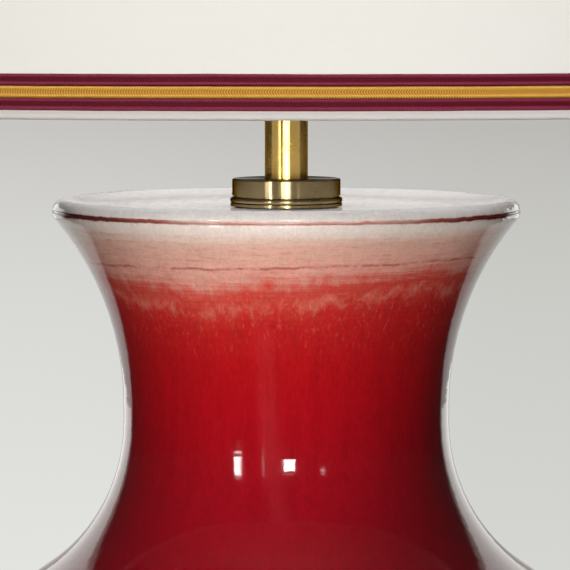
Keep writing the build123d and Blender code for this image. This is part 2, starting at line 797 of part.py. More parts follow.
# Bulb: a round envelope whose neck runs into a screw cap
dome_z = bulb_z + bulb_length - bulb_r
neck_arc_centre_r = bulb_neck_r + bulb_neck_arc_r
dome_to_neck = sqrt((bulb_r + bulb_neck_arc_r) ** 2 - neck_arc_centre_r**2)
dome_turn = degrees(atan2(dome_to_neck, neck_arc_centre_r))
bulb_cap_z = bulb_z + bulb_button_h + bulb_insulator_h
bulb_cap_top_z = bulb_cap_z + bulb_cap_h
glass_z = bulb_cap_top_z - glass_tuck


def bulb_side(inset):
    """Draws the bulb's outline from its open neck up to its top, moved inwards by inset."""
    Line((bulb_neck_r - inset, glass_z), (bulb_neck_r - inset, dome_z - dome_to_neck))
    CenterArc(
        (neck_arc_centre_r, dome_z - dome_to_neck), bulb_neck_arc_r + inset, 180, -dome_turn
    )
    CenterArc((0, dome_z), bulb_r - inset, -dome_turn, 90 + dome_turn)


with BuildPart() as bulb_glass:
    with BuildSketch(Plane.XZ):
        with BuildLine():
            bulb_side(0)
            Line((0, dome_z + bulb_r), (0, dome_z + bulb_r - bulb_glass_t))
            bulb_side(bulb_glass_t)
            Line((bulb_neck_r - bulb_glass_t, glass_z), (bulb_neck_r, glass_z))
        make_face()
    revolve(axis=Axis.Z)
bulb_glass.part.label = "bulb_glass"
export_step(bulb_glass.part, "parts/bulb_glass.step")

with BuildPart() as bulb_cap:
    with BuildSketch(Plane.XZ):
        Polygon(
            (bulb_cap_foot_r, bulb_cap_z),
            (bulb_cap_r, bulb_cap_z + bulb_cap_bevel),
            (bulb_cap_r, bulb_cap_top_z),
            (bulb_cap_r - bulb_cap_wall, bulb_cap_top_z),
            (bulb_cap_r - bulb_cap_wall, bulb_cap_z + bulb_cap_bevel),
            (bulb_cap_foot_r - bulb_cap_wall, bulb_cap_z),
            align=None,
        )
    revolve(axis=Axis.Z)
bulb_cap.part.label = "bulb_cap"
export_step(bulb_cap.part, "parts/bulb_cap.step")

with BuildPart(Plane.XY.offset(bulb_z + bulb_button_h)) as bulb_insulator:
    Cone(bulb_button_r, bulb_cap_foot_r, bulb_insulator_h, align=STAND)
bulb_insulator.part.label = "bulb_insulator"
export_step(bulb_insulator.part, "parts/bulb_insulator.step")

with BuildPart(Plane.XY.offset(bulb_z)) as bulb_button:
    Cylinder(bulb_button_r, bulb_button_h, align=STAND)
    fillet(bulb_button.edges().sort_by(Axis.Z)[0], bulb_button_h / 2)
bulb_button.part.label = "bulb_button"
export_step(bulb_button.part, "parts/bulb_button.step")

# Glass stem inside the bulb, and the filament on its two wires
stem_flare_r = bulb_neck_r - bulb_glass_t - soft_gap
with BuildPart() as bulb_stem:
    with BuildSketch(Plane.XZ):
        Polygon(
            (0, glass_z),
            (stem_flare_r, glass_z),
            (stem_flare_r, glass_z + stem_flare_h / 2),
            (stem_r, glass_z + 2 * stem_flare_h),
            (stem_r, glass_z + stem_h),
            (0, glass_z + stem_h),
            align=None,
        )
    revolve(axis=Axis.Z)
bulb_stem.part.label = "bulb_stem"
export_step(bulb_stem.part, "parts/bulb_stem.step")

filament_z = glass_z + stem_h
with BuildPart() as bulb_filament:
    with BuildLine(Plane.XZ):
        FilletPolyline(
            (-filament_foot_x, filament_z),
            (-filament_foot_x, filament_z + filament_foot_h),
            (-filament_half, filament_z + filament_rise),
            (filament_half, filament_z + filament_rise),
            (filament_foot_x, filament_z + filament_foot_h),
            (filament_foot_x, filament_z),
            radius=filament_bend_r,
        )
    with BuildSketch(Plane.XY.offset(filament_z)):
        with Locations((-filament_foot_x, 0)):
            Circle(filament_r)
    sweep()
bulb_filament.part.label = "bulb_filament"
export_step(bulb_filament.part, "parts/bulb_filament.step")

# The shade's wall leans inwards. Each edge has a plane whose X runs out through the
# wall and whose Y runs along it, away from the edge; both share the wall's inner face.
lean = atan2(shade_bottom_r - shade_top_r, shade_height)
slant = sqrt((shade_bottom_r - shade_top_r) ** 2 + shade_height**2)
outwards = (cos(lean), 0, sin(lean))
lower_edge = Plane((shade_bottom_r, 0, shade_bottom_z), x_dir=outwards, z_dir=(0, -1, 0))
upper_edge = Plane((shade_top_r, 0, shade_top_z), x_dir=outwards, z_dir=(0, 1, 0))

# Centre of each edge's wire, in its plane
wire_in = -backing_t - ring_web - ring_wire_r
wire_up = hem_t + ring_wire_r
ring_centre = upper_edge.from_local_coords((wire_in, wire_up, 0))
arm_start = Vector(hub_r - arm_inset, 0, hub_z + hub_t / 2)
arm_run = ring_centre - arm_start
arm_planes = [
    Plane(
        arm_start.rotate(Axis.Z, first_arm + 360 * arm / arm_count),
        z_dir=arm_run.rotate(Axis.Z, first_arm + 360 * arm / arm_count),
    )
    for arm in range(arm_count)
]


def shade_skin(inner, outer):
    """One layer of the shade's wall, between two distances from its reference face."""
    with BuildPart() as skin:
        with BuildSketch(lower_edge):
            with Locations((inner, shade_tuck)):
                Rectangle(outer - inner, slant - 2 * shade_tuck, align=(Align.MIN, Align.MIN))
        revolve(axis=Axis.Z)
    return skin.part


def hem(edge):
    """Cloth tape wrapped round an edge of the shade and its wire, up both faces of the wall."""
    face_out = fabric_t + hem_t
    face_in = -backing_t - hem_t
    roll_r = ring_wire_r + hem_t
    with BuildPart() as tape:
        with BuildSketch(edge):
            with BuildLine():
                CenterArc((face_out - shade_tuck, shade_tuck), shade_tuck, -90, 90)
                Polyline(
                    (face_out, shade_tuck),
                    (face_out, hem_h),
                    (face_in, hem_h),
                    (face_in, hem_foot),
                    (wire_in - roll_r, wire_up),
                )
                CenterArc((wire_in, wire_up), roll_r, 180, 90)
                Line((wire_in, wire_up - roll_r), (face_out - shade_tuck, wire_up - roll_r))
            make_face()
            with Locations((-backing_t, shade_tuck)):
                Rectangle(
                    fabric_t + backing_t,
                    hem_h,
                    align=(Align.MIN, Align.MIN),
                    mode=Mode.SUBTRACT,
                )
            with Locations((wire_in, shade_tuck)):
                Rectangle(
                    -backing_t - wire_in,
                    ring_wire_r,
                    align=(Align.MIN, Align.MIN),
                    mode=Mode.SUBTRACT,
                )
            with Locations((wire_in, wire_up)):
                Circle(ring_wire_r + ring_web / 2, mode=Mode.SUBTRACT)
        revolve(axis=Axis.Z)
    return tape.part


def braid_row(edge, row):
    """One flat braid of two cords, glued round the shade, counted from the edge."""
    seat = fabric_t + hem_t
    low = braid_rise + row * (braid_w + braid_gap)
    middle = low + braid_w / 2
    with BuildPart() as braid:
        with BuildSketch(edge):
            with BuildLine():
                ThreePointArc(
                    (seat + braid_edge_t, low),
                    (seat + braid_crown_t, low + braid_w / 4),
                    (seat + braid_groove_t, middle),
                )
                ThreePointArc(
                    (seat + braid_groove_t, middle),
                    (seat + braid_crown_t, middle + braid_w / 4),
                    (seat + braid_edge_t, low + braid_w),
                )
                Polyline(
                    (seat + braid_edge_t, low + braid_w),
                    (seat, low + braid_w),
                    (seat, low),
                    (seat + braid_edge_t, low),
                )
            make_face()
        revolve(axis=Axis.Z)
    return braid.part


# Card backing and the fabric on it
shade_backing = shade_skin(-backing_t, 0)
shade_backing.label = "shade_backing"
export_step(shade_backing, "parts/shade_backing.step")

shade_fabric = shade_skin(0, fabric_t)
shade_fabric.label = "shade_fabric"
export_step(shade_fabric, "parts/shade_fabric.step")

# Wire ring in the lower edge
with BuildPart() as lower_ring:
    with BuildSketch(lower_edge):
        with Locations((wire_in, wire_up)):
            Circle(ring_wire_r)
    revolve(axis=Axis.Z)
lower_ring.part.label = "lower_ring"
export_step(lower_ring.part, "parts/lower_ring.step")

# Fitter: a wire ring in the upper edge, a hub that sits on the harp, and three arms
# welded between them, whose ends are shaped to the ring and to the hub's rim
with BuildPart() as upper_ring:
    with BuildSketch(upper_edge):
        with Locations((wire_in, wire_up)):
            Circle(ring_wire_r)
    revolve(axis=Axis.Z)
upper_ring.part.label = "upper_ring"
export_step(upper_ring.part, "parts/upper_ring.step")

fitter_hub = ring(hub_r, stud_r + running, hub_z, hub_t)
fitter_hub.label = "fitter_hub"
export_step(fitter_hub, "parts/fitter_hub.step")

with BuildPart() as fitter_arms:
    with Locations(*arm_planes):
        Cylinder(arm_r, arm_run.length, align=STAND)
    Cylinder(hub_r, 2 * shade_top_z, mode=Mode.SUBTRACT)
    add(upper_ring.part, mode=Mode.SUBTRACT)
fitter_arms.part.label = "fitter_arms"
export_step(fitter_arms.part, "parts/fitter_arms.step")

# Hems round both edges; the upper one is slit for the fitter's arms
lower_hem = hem(lower_edge)
lower_hem.label = "lower_hem"
export_step(lower_hem, "parts/lower_hem.step")

with BuildPart() as upper_hem:
    add(hem(upper_edge))
    with Locations(*arm_planes):
        Cylinder(arm_r + arm_play, arm_run.length, align=STAND, mode=Mode.SUBTRACT)
upper_hem.part.label = "upper_hem"
export_step(upper_hem.part, "parts/upper_hem.step")

# Braids: burgundy, gold and burgundy along each edge
for edge_name, edge in (("lower", lower_edge), ("upper", upper_edge)):
    for row, row_name in enumerate(("edge", "gold", "inner")):
        braid = braid_row(edge, row)
        braid.label = f"{edge_name}_{row_name}_braid"
        export_step(braid, f"parts/{edge_name}_{row_name}_braid.step")

# Turned brass finial that screws down on the fitter's hub
with BuildPart(Plane.XY.offset(finial_z)) as finial:
    Cylinder(finial_seat_r, finial_seat_h, align=STAND)
    fillet(finial.edges().sort_by(Axis.Z)[-1], finial_seat_h / 2)
    with Locations((0, 0, finial_seat_h / 2)):
        Cone(finial_seat_r - finial_seat_h / 2, finial_neck_r, finial_neck_h, align=STAND)
    with Locations((0, 0, finial_ball_z)):
        Sphere(finial_ball_r)
    with Locations((0, 0, finial_ball_z + finial_ball_r)):
        Sphere(finial_tip_r)
    Cylinder(stud_r + running, stud_proud + finial_bore_play, align=STAND, mode=Mode.SUBTRACT)
finial.part.label = "finial"
export_step(finial.part, "parts/finial.step")
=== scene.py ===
"""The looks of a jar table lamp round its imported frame.

Metres, +Z up, front towards -Y. The origin is on the table, on the lamp's axis.
"""

import logging
import math
from collections.abc import Iterable
from dataclasses import dataclass
from enum import Enum

import bpy
import numpy as np
from mathutils import Euler, Matrix, Vector


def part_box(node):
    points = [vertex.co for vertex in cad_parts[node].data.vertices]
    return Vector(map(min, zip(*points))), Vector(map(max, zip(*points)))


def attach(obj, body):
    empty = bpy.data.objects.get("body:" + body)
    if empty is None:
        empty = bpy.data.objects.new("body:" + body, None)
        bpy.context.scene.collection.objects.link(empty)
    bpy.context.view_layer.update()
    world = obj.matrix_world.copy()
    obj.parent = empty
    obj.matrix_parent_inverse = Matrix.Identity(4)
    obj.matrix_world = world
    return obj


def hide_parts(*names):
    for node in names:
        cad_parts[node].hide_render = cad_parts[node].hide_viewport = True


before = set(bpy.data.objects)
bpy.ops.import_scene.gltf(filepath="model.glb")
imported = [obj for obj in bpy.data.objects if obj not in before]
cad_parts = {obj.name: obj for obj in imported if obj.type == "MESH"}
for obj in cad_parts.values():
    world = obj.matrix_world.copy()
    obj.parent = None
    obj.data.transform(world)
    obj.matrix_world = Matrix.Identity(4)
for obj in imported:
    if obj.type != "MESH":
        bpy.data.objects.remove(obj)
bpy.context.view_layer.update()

log = logging.getLogger("jar_lamp")
MM = 0.001
TURN = 2 * math.pi
Triple = tuple[float, float, float]
Colour = Triple
Socket = bpy.types.NodeSocket
Material = bpy.types.Material
Object = bpy.types.Object
Value = float | tuple | Vector | Socket


def linear(red: int, green: int, blue: int) -> Colour:
    """Turns a colour as a screen shows it, from 0 to 255, into scene-linear values."""
    return tuple(((c / 255 + 0.055) / 1.055) ** 2.4 for c in (red, green, blue))


class Graph:
    """A node tree in the making."""

    def __init__(self, tree: bpy.types.NodeTree) -> None:
        """Takes over an empty tree."""
        self.tree = tree

    def add(self, kind: str, values: dict[str | int, Value] | None = None, **settings) -> bpy.types.Node:
        """Adds a node.

        Args:
            kind: The node's type name.
            values: What each input holds, or the socket that feeds it, by name or number.
            settings: The node's own options.

        Returns:
            The new node.
        """
        node = self.tree.nodes.new(kind)
        for name, setting in settings.items():
            setattr(node, name, setting)
        for name, value in (values or {}).items():
            self.feed(node.inputs[name], value)
        return node

    def get(self, kind: str, values: dict[str | int, Value] | None = None, **settings) -> Socket:
        """Adds a node and gives its first output."""
        return self.add(kind, values, **settings).outputs[0]

    def feed(self, socket: Socket, value: Value) -> None:
        """Links a socket to another, or sets the value that it holds.

        Args:
            socket: The input socket.
            value: The value, or the socket that feeds it.
        """
        if isinstance(value, Socket):
            self.tree.links.new(value, socket)
            return
        if socket.type == "RGBA" and len(value) == 3:
            value = (*value, 1.0)
        socket.default_value = value

    def math(self, operation: str, *values: Value, clamp: bool = False) -> Socket:
        """Works out one number from others."""
        return self.get("ShaderNodeMath", dict(enumerate(values)), operation=operation, use_clamp=clamp)

    def fold(self, operation: str, first: Value, *others: Value) -> Socket:
        """Joins numbers by one operation, from left to right."""
        for other in others:
            first = self.math(operation, first, other)
        return first

    def plus(self, *values: Value) -> Socket:
        """Adds numbers up."""
        return self.fold("ADD", *values)

    def times(self, *values: Value) -> Socket:
        """Multiplies numbers with each other."""
        return self.fold("MULTIPLY", *values)

    def minus(self, first: Value, second: Value, clamp: bool = False) -> Socket:
        """Takes one number from another."""
        return self.math("SUBTRACT", first, second, clamp=clamp)

    def over(self, first: Value, second: Value) -> Socket:
        """Divides one number by another."""
        return self.math("DIVIDE", first, second)

    def apart(self, first: Value, second: Value) -> Socket:
        """Says how far one number is from another, either way."""
        return self.math("ABSOLUTE", self.minus(first, second))

    def swing(self, noise: Value, size: Value) -> Socket:
        """Turns noise about 0.5 into one about 0, with that size."""
        return self.times(self.minus(noise, 0.5), size)

    def vector(self, operation: str, *values: Value) -> Socket:
        """Works out one vector from others."""
        return self.get("ShaderNodeVectorMath", dict(enumerate(values)), operation=operation)

    def between(self, value: Value, low: float, high: float,
                to_low: Value = 0.0, to_high: Value = 1.0) -> Socket:
        """Eases from one number to another as a value passes between two bounds."""
        values = {0: value, 1: low, 2: high, 3: to_low, 4: to_high}
        return self.get("ShaderNodeMapRange", values, interpolation_type="SMOOTHSTEP")

    def fades(self, value: Value, low: float, high: float) -> Socket:
        """Eases from 1 to 0 as a value passes between two bounds."""
        return self.between(value, low, high, 1.0, 0.0)

    def axes(self, vector: Value) -> tuple[Socket, ...]:
        """Splits a vector into its three numbers."""
        return tuple(self.add("ShaderNodeSeparateXYZ", {0: vector}).outputs)

    def join(self, x: Value, y: Value, z: Value) -> Socket:
        """Puts three numbers together as a vector or a colour."""
        return self.get("ShaderNodeCombineXYZ", {0: x, 1: y, 2: z})

    def blend(self, share: Value, first: Value, second: Value) -> Socket:
        """Mixes two shaders."""
        return self.get("ShaderNodeMixShader", {0: share, 1: first, 2: second})

    def noise(self, place: Value, scale: float, detail: float = 3.0, rough: float = 0.5) -> Socket:
        """Soft noise about 0.5, of a size of one part in scale of a metre."""
        values = {"Vector": place, "Scale": scale, "Detail": detail, "Roughness": rough}
        return self.get("ShaderNodeTexNoise", values)

    def grain(self, place: Value, stretch: Triple, detail: float = 3.0, rough: float = 0.5) -> Socket:
        """Noise with its own scale along each axis."""
        return self.noise(self.vector("MULTIPLY", place, stretch), 1.0, detail, rough)


class Surface(Graph):
    """A material's node tree, read by its object's own coordinates."""

    def __init__(self, name: str) -> None:
        """Starts a material with one principled shader.

        Args:
            name: The material's name.
        """
        self.material = bpy.data.materials.new(name)
        self.material.use_nodes = True
        super().__init__(self.material.node_tree)
        self.shader = self.tree.nodes["Principled BSDF"]
        self.output = self.tree.nodes["Material Output"]
        self.place = self.add("ShaderNodeTexCoord").outputs["Object"]

    def set(self, **values: Value) -> Material:
        """Sets or feeds the shader's inputs, named with underscores for spaces, and gives the material."""
        for name, value in values.items():
            self.feed(self.shader.inputs[name.replace("_", " ")], value)
        return self.material

    def mix(self, share: Value, first: Value, second: Value) -> Socket:
        """Mixes two colours."""
        return self.add("ShaderNodeMix", {0: share, 6: first, 7: second}, data_type="RGBA").outputs[2]

    def ramp(self, value: Value, stops: Iterable[tuple[float, Colour]]) -> Socket:
        """Gives the colour that a list of stops has at a value.

        Args:
            value: Where to read it, from 0 to 1.
            stops: The place and colour of each stop, in order.

        Returns:
            The colour.
        """
        node = self.add("ShaderNodeValToRGB", {0: value})
        marks = node.color_ramp.elements
        for number, (position, colour) in enumerate(stops):
            mark = marks[number] if number < 2 else marks.new(position)
            mark.position = position
            mark.color = (*colour, 1.0)
        return node.outputs[0]

    def bump(self, height: Value, depth: float, before: Value | None = None) -> Socket:
        """Turns a height from 0 to 1 into a normal.

        Args:
            height: The height.
            depth: How deep the relief is, in metres.
            before: The normal that it is laid over, if there is one.

        Returns:
            The normal.
        """
        values = {"Height": height, "Distance": depth, "Strength": 1.0}
        if before is not None:
            values["Normal"] = before
        return self.get("ShaderNodeBump", values)


class Finish:
    """What a piece's surface is made of. Each kind says how its material is built."""

    def material(self) -> Material:
        """Builds the finish."""
        raise NotImplementedError


LIP_TONES = (
    (0.000, linear(238, 234, 231)),
    (0.062, linear(240, 228, 219)),
    (0.110, linear(238, 222, 212)),
    (0.140, linear(230, 200, 184)),
    (0.200, linear(226, 178, 160)),
    (0.290, linear(226, 170, 153)),
    (0.385, linear(224, 154, 138)),
    (0.430, linear(212, 106, 92)),
    (0.465, linear(205, 74, 62)),
    (0.540, linear(198, 54, 45)),
    (0.630, linear(188, 32, 32)),
    (0.800, linear(180, 20, 26)),
    (1.000, linear(176, 15, 24)),
)
# The body's red darkens downwards: partly the thicker glaze's own deeper colour, partly painted shade over
# the shoulder, where the jar faces up, away from the lamps.
BODY_TONES_AND_SHADE = (
    (0.17, linear(178, 14, 25)),
    (0.26, linear(154, 11, 26)),
    (0.36, linear(132, 9, 26)),
    (0.60, linear(118, 8, 25)),
    (0.90, linear(90, 7, 21)),
)


class GlazeSurface(Surface):
    """The glaze's node tree, with the colour so far and the readings that its layers share."""

    def __init__(self, crest: float) -> None:
        """Reads the depth below the crest and lays the glaze's runs, drift and mottle.

        Args:
            crest: The height of the lip's crest.
        """
        super().__init__("copper_red_glaze")
        self.x, _, self.z = self.axes(self.place)
        self.depth = self.minus(crest, self.z)
        self.runs = self.grain(self.place, (300, 300, 26), 5.0, 0.6)
        self.drift = self.grain(self.place, (26, 26, 12), 4.0, 0.6)
        self.mottle = self.grain(self.place, (900, 900, 420), 4.0, 0.7)
        self.colour: Value = LIP_TONES[0][1]

    def lay(self, share: Value, tint: Value) -> None:
        """Lays a tint over the colour so far."""
        self.colour = self.mix(share, self.colour, tint)


@dataclass(frozen=True)
class CopperRedGlaze(Finish):
    """Copper-red glaze that runs off a pale lip and thickens down the jar, its red darkened further by
    painted shade down the body and at the sides of the lip's groove.

    Drops are depths below the lip's crest.
    """

    crest: float
    height: float
    groove_drop: float = 3.5 * MM
    groove_half: float = 0.6 * MM
    # Extra half width of the groove line at the jar's left and right, part of its painted shade.
    side_shade_widening: float = 0.35 * MM
    faint_drop: float = 16.6 * MM
    faint_tilt: float = 0.02
    second_drop: float = 31 * MM
    lip_zone: float = 60 * MM
    foot_ring: float = 4 * MM

    def ground(self, s: GlazeSurface) -> None:
        """Grades the glaze from the pale lip through pink runs to deep red, darker down the body in part by
        painted shade, with a cloudy edge.

        Args:
            s: The glaze's surface.
        """
        rings = s.grain(s.place, (20, 20, 900), 6.0, 0.7)
        climb = s.between(s.x, -10 * MM, 50 * MM, 3.2 * MM, 7.8 * MM)
        shift = s.plus(s.swing(s.drift, 16 * MM), s.swing(s.runs, 9 * MM), climb)
        shift = s.times(shift, s.between(s.depth, 5 * MM, 22 * MM))
        streaks = s.swing(rings, s.between(s.depth, 5 * MM, 10 * MM, 0.0, 9 * MM))
        low = s.plus(s.depth, shift, streaks)
        upper = s.ramp(s.over(low, self.lip_zone), LIP_TONES)
        lower = s.ramp(s.over(low, self.height), BODY_TONES_AND_SHADE)
        s.colour = s.mix(s.between(s.depth, 0.8 * self.lip_zone, self.lip_zone), upper, lower)
        second = s.plus(s.minus(s.depth, self.second_drop), s.times(shift, 0.8))
        second = s.fades(s.math("ABSOLUTE", second), 0.2 * MM, 3.0 * MM)
        cloudy = s.between(s.grain(s.place, (170, 170, 110), 5.0, 0.7), 0.38, 0.62)
        s.lay(s.times(second, cloudy, 0.62), linear(220, 126, 108))

    def streaks(self, s: GlazeSurface) -> None:
        """Lays thin level bands over the pink part and short pale strokes over the first red.

        Args:
            s: The glaze's surface.
        """
        thin = s.grain(s.place, (110, 110, 900), 5.0, 0.8)
        banded = s.times(s.between(s.depth, 6 * MM, 9 * MM), s.fades(s.depth, 18 * MM, 27 * MM))
        dark = s.times(s.between(thin, 0.50, 0.72), s.times(banded, 0.5))
        pale = s.times(s.between(thin, 0.48, 0.28), s.times(banded, 0.35))
        s.lay(dark, linear(190, 92, 76))
        s.lay(pale, linear(240, 210, 198))
        strokes = s.between(s.grain(s.place, (800, 800, 240), 4.0, 0.75), 0.54, 0.72)
        in_red = s.between(s.depth, 30 * MM, 48 * MM, 0.34, 0.0)
        in_red = s.times(s.between(s.depth, 20 * MM, 27 * MM), in_red)
        s.lay(s.times(strokes, in_red), linear(228, 128, 108))

    def specks(self, s: GlazeSurface) -> None:
        """Mottles the glaze and scatters dark and pale specks in it.

        Args:
            s: The glaze's surface.
        """
        hairs = s.grain(s.place, (1900, 1900, 240), 3.0, 0.6)
        tone = s.plus(s.times(s.mottle, 0.55), s.times(hairs, 0.5), s.times(s.runs, 0.45))
        tone = s.times(s.minus(tone, 0.75), s.between(s.depth, 10 * MM, 30 * MM, 0.6, 1.0))
        tone = s.plus(tone, 1.0)
        s.colour = s.vector("MULTIPLY", s.colour, s.join(tone, tone, tone))
        cells = s.add("ShaderNodeTexVoronoi", {"Vector": s.place, "Scale": 85.0}).outputs
        chance, kind, _ = s.axes(cells["Color"])
        speck = s.times(s.fades(cells["Distance"], 0.02, 0.07), s.math("GREATER_THAN", chance, 0.84))
        tint = s.mix(s.math("GREATER_THAN", kind, 0.55), linear(60, 6, 12), linear(230, 150, 130))
        s.lay(s.times(speck, s.between(s.depth, 8 * MM, 30 * MM, 0.1, 0.55)), tint)

    def lines(self, s: GlazeSurface) -> None:
        """Draws two thin dark lines: the groove under the lip's roll and a faint one further down.

        Towards the jar's left and right the groove line is painted darker and wider: painted shade where
        the jar's sides turn away from the light.

        Args:
            s: The glaze's surface.
        """
        # Painted shade: 0 at the jar's front and back, 1 towards its left and right, where the groove line
        # is drawn darker and wider.
        side_shade = s.between(s.math("ABSOLUTE", s.x), 16 * MM, 64 * MM)
        wobble = s.swing(s.grain(s.place, (260, 260, 30), 4.0), 1.0 * MM)
        off = s.plus(s.minus(s.depth, self.groove_drop), wobble)
        half = s.plus(self.groove_half, s.times(side_shade, self.side_shade_widening))
        groove = s.between(s.minus(1.0, s.over(s.math("ABSOLUTE", off), half), clamp=True), 0.0, 0.55)
        broken = s.plus(s.times(side_shade, 0.5), s.grain(s.place, (75, 75, 75)))
        groove = s.times(groove, s.between(broken, 0.2, 0.75, 0.4, 1.0))
        wobble = s.swing(s.grain(s.place, (45, 45, 20), 5.0, 0.7), 3 * MM)
        off = s.plus(s.minus(s.depth, self.faint_drop), wobble, s.times(s.x, self.faint_tilt))
        faint = s.fades(s.math("ABSOLUTE", off), 0.1 * MM, 0.6 * MM)
        patchy = s.between(s.grain(s.place, (180, 180, 30), 4.0, 0.7), 0.36, 0.62)
        s.lay(s.times(faint, patchy, 0.75), linear(178, 84, 72))
        # The groove's pink glaze colour, turned dark red towards the sides as painted shade.
        s.lay(groove, s.mix(side_shade, linear(206, 118, 104), linear(112, 24, 24)))

    def relief(self, s: GlazeSurface) -> Socket:
        """The glaze's slow ripples, fine pitting and sunk groove, as a normal.

        Args:
            s: The glaze's surface.

        Returns:
            The normal.
        """
        normal = s.bump(s.grain(s.place, (9, 9, 230), 2.0), 0.07 * MM)
        normal = s.bump(s.grain(s.place, (420, 420, 300), 2.0), 0.022 * MM, normal)
        normal = s.bump(s.mottle, 0.004 * MM, normal)
        hollow = s.fades(s.apart(s.depth, self.groove_drop), 0.0, 1.3 * MM)
        return s.bump(hollow, -0.3 * MM, normal)

    def material(self) -> Material:
        """Builds the glaze, down to the bare ceramic of its foot ring."""
        s = GlazeSurface(self.crest)
        for layer in (self.ground, self.streaks, self.specks, self.lines):
            layer(s)
        bare_z = self.crest - self.height + self.foot_ring
        bare = s.fades(s.plus(s.z, s.times(s.drift, 4 * MM)), bare_z, bare_z + 2 * MM)
        s.lay(bare, linear(206, 190, 174))
        rough = s.plus(s.between(s.runs, 0.3, 0.75, 0.05, 0.1), s.times(bare, 0.5))
        return s.set(Base_Color=s.colour, Roughness=rough, IOR=1.5, Normal=self.relief(s))


@dataclass(frozen=True)
class PolishedMetal(Finish):
    """Turned or rolled metal with fine marks, dulled in patches.

    Brushed metal has its marks round the lamp's axis, which draw highlights out upwards.
    """

    name: str
    colour: Colour
    dull: Colour
    roughness: float = 0.16
    grain: Triple = (500, 500, 9000)
    brushed: float = 0.0
    edge: Colour = (1.0, 1.0, 1.0)
    scratch: float = 0.003 * MM

    def material(self) -> Material:
        """Builds the metal."""
        s = Surface(self.name)
        patches = s.noise(s.place, 70.0, 4.0)
        marks = s.grain(s.place, self.grain, 2.0)
        rough = s.between(patches, 0.3, 0.75, self.roughness * 0.8, self.roughness * 1.35)
        rough = s.plus(rough, s.times(marks, 0.04))
        colour = s.mix(s.between(patches, 0.42, 0.8, 0.0, 0.6), self.colour, self.dull)
        if self.brushed:
            around = s.get("ShaderNodeTangent", direction_type="RADIAL", axis="Z")
            s.set(Anisotropic=self.brushed, Anisotropic_Rotation=0.25, Tangent=around,
                  Specular_Tint=self.edge)
        return s.set(Base_Color=colour, Metallic=1.0, Roughness=rough, Normal=s.bump(marks, self.scratch))


@dataclass(frozen=True)
class TurnedWood(Finish):
    """Dark stained wood with its grain along X, under wax."""

    dark: Colour = linear(38, 20, 14)
    light: Colour = linear(92, 50, 30)
    rings: float = 95.0
    warp: float = 4.2

    def material(self) -> Material:
        """Builds the wood."""
        s = Surface("dark_turned_wood")
        _, y, z = s.axes(s.place)
        across = s.plus(s.times(y, 0.55), s.times(z, 1.6))
        bent = s.times(s.grain(s.place, (5, 22, 30)), self.warp)
        growth = s.math("FRACT", s.plus(s.times(across, self.rings), bent))
        growth = s.times(s.between(growth, 0.0, 0.82), s.fades(growth, 0.86, 1.0))
        pores = s.grain(s.place, (90, 1500, 1500), 3.0, 0.65)
        pore = s.between(pores, 0.56, 0.68)
        share = s.plus(s.times(growth, 0.55), s.times(s.noise(s.place, 24.0), 0.4))
        colour = s.mix(s.minus(share, s.times(pore, 0.5), clamp=True), self.dark, self.light)
        return s.set(Base_Color=colour, Roughness=s.between(pores, 0.35, 0.7, 0.32, 0.5),
                     Normal=s.bump(pore, -0.05 * MM), Coat_Weight=0.25, Coat_Roughness=0.22)


@dataclass(frozen=True)
class PressedSheet(Finish):
    """Felt, card or board: a matt sheet of short fibres."""

    name: str
    colour: Colour
    fleck: Colour
    relief: float = 0.12 * MM
    fuzz: float = 0.3

    def material(self) -> Material:
        """Builds the sheet."""
        s = Surface(self.name)
        fibres = s.noise(s.place, 1300.0, 6.0, 0.75)
        clouds = s.noise(s.place, 60.0, 2.0)
        share = s.plus(s.between(fibres, 0.4, 0.68, 0.0, 0.75), s.times(clouds, 0.25))
        return s.set(Base_Color=s.mix(share, self.colour, self.fleck),
                     Roughness=s.between(clouds, 0.2, 0.8, 0.88, 0.98),
                     Normal=s.bump(fibres, self.relief), Sheen_Weight=self.fuzz, Sheen_Roughness=0.6)


@dataclass(frozen=True)
class Moulding(Finish):
    """Moulded plastic, rubber or drawn wire with a faint surface grain."""

    name: str
    colour: Colour
    roughness: float = 0.4
    speckle: float = 0.1
    metallic: float = 0.0

    def material(self) -> Material:
        """Builds the moulding."""
        s = Surface(self.name)
        lightness = s.noise(s.place, 110.0, 4.0)
        darker = tuple(c * (1 - 2 * self.speckle) for c in self.colour)
        return s.set(Base_Color=s.mix(lightness, darker, self.colour), Metallic=self.metallic,
                     Roughness=s.between(lightness, 0.3, 0.7, self.roughness, self.roughness + 0.12),
                     Normal=s.bump(s.noise(s.place, 1600.0, 2.0), 0.012 * MM))


@dataclass(frozen=True)
class BulbGlass(Finish):
    """Blown glass, opal or clear."""

    name: str
    colour: Colour
    see_through: float
    roughness: float

    def material(self) -> Material:
        """Builds the glass."""
        s = Surface(self.name)
        haze = s.noise(s.place, 45.0)
        milky = s.between(haze, 0.3, 0.8, 0.0, 0.12)
        return s.set(Base_Color=s.mix(milky, self.colour, linear(200, 202, 198)),
                     Transmission_Weight=self.see_through, IOR=1.5,
                     Roughness=s.between(haze, 0.3, 0.7, self.roughness, self.roughness + 0.06))


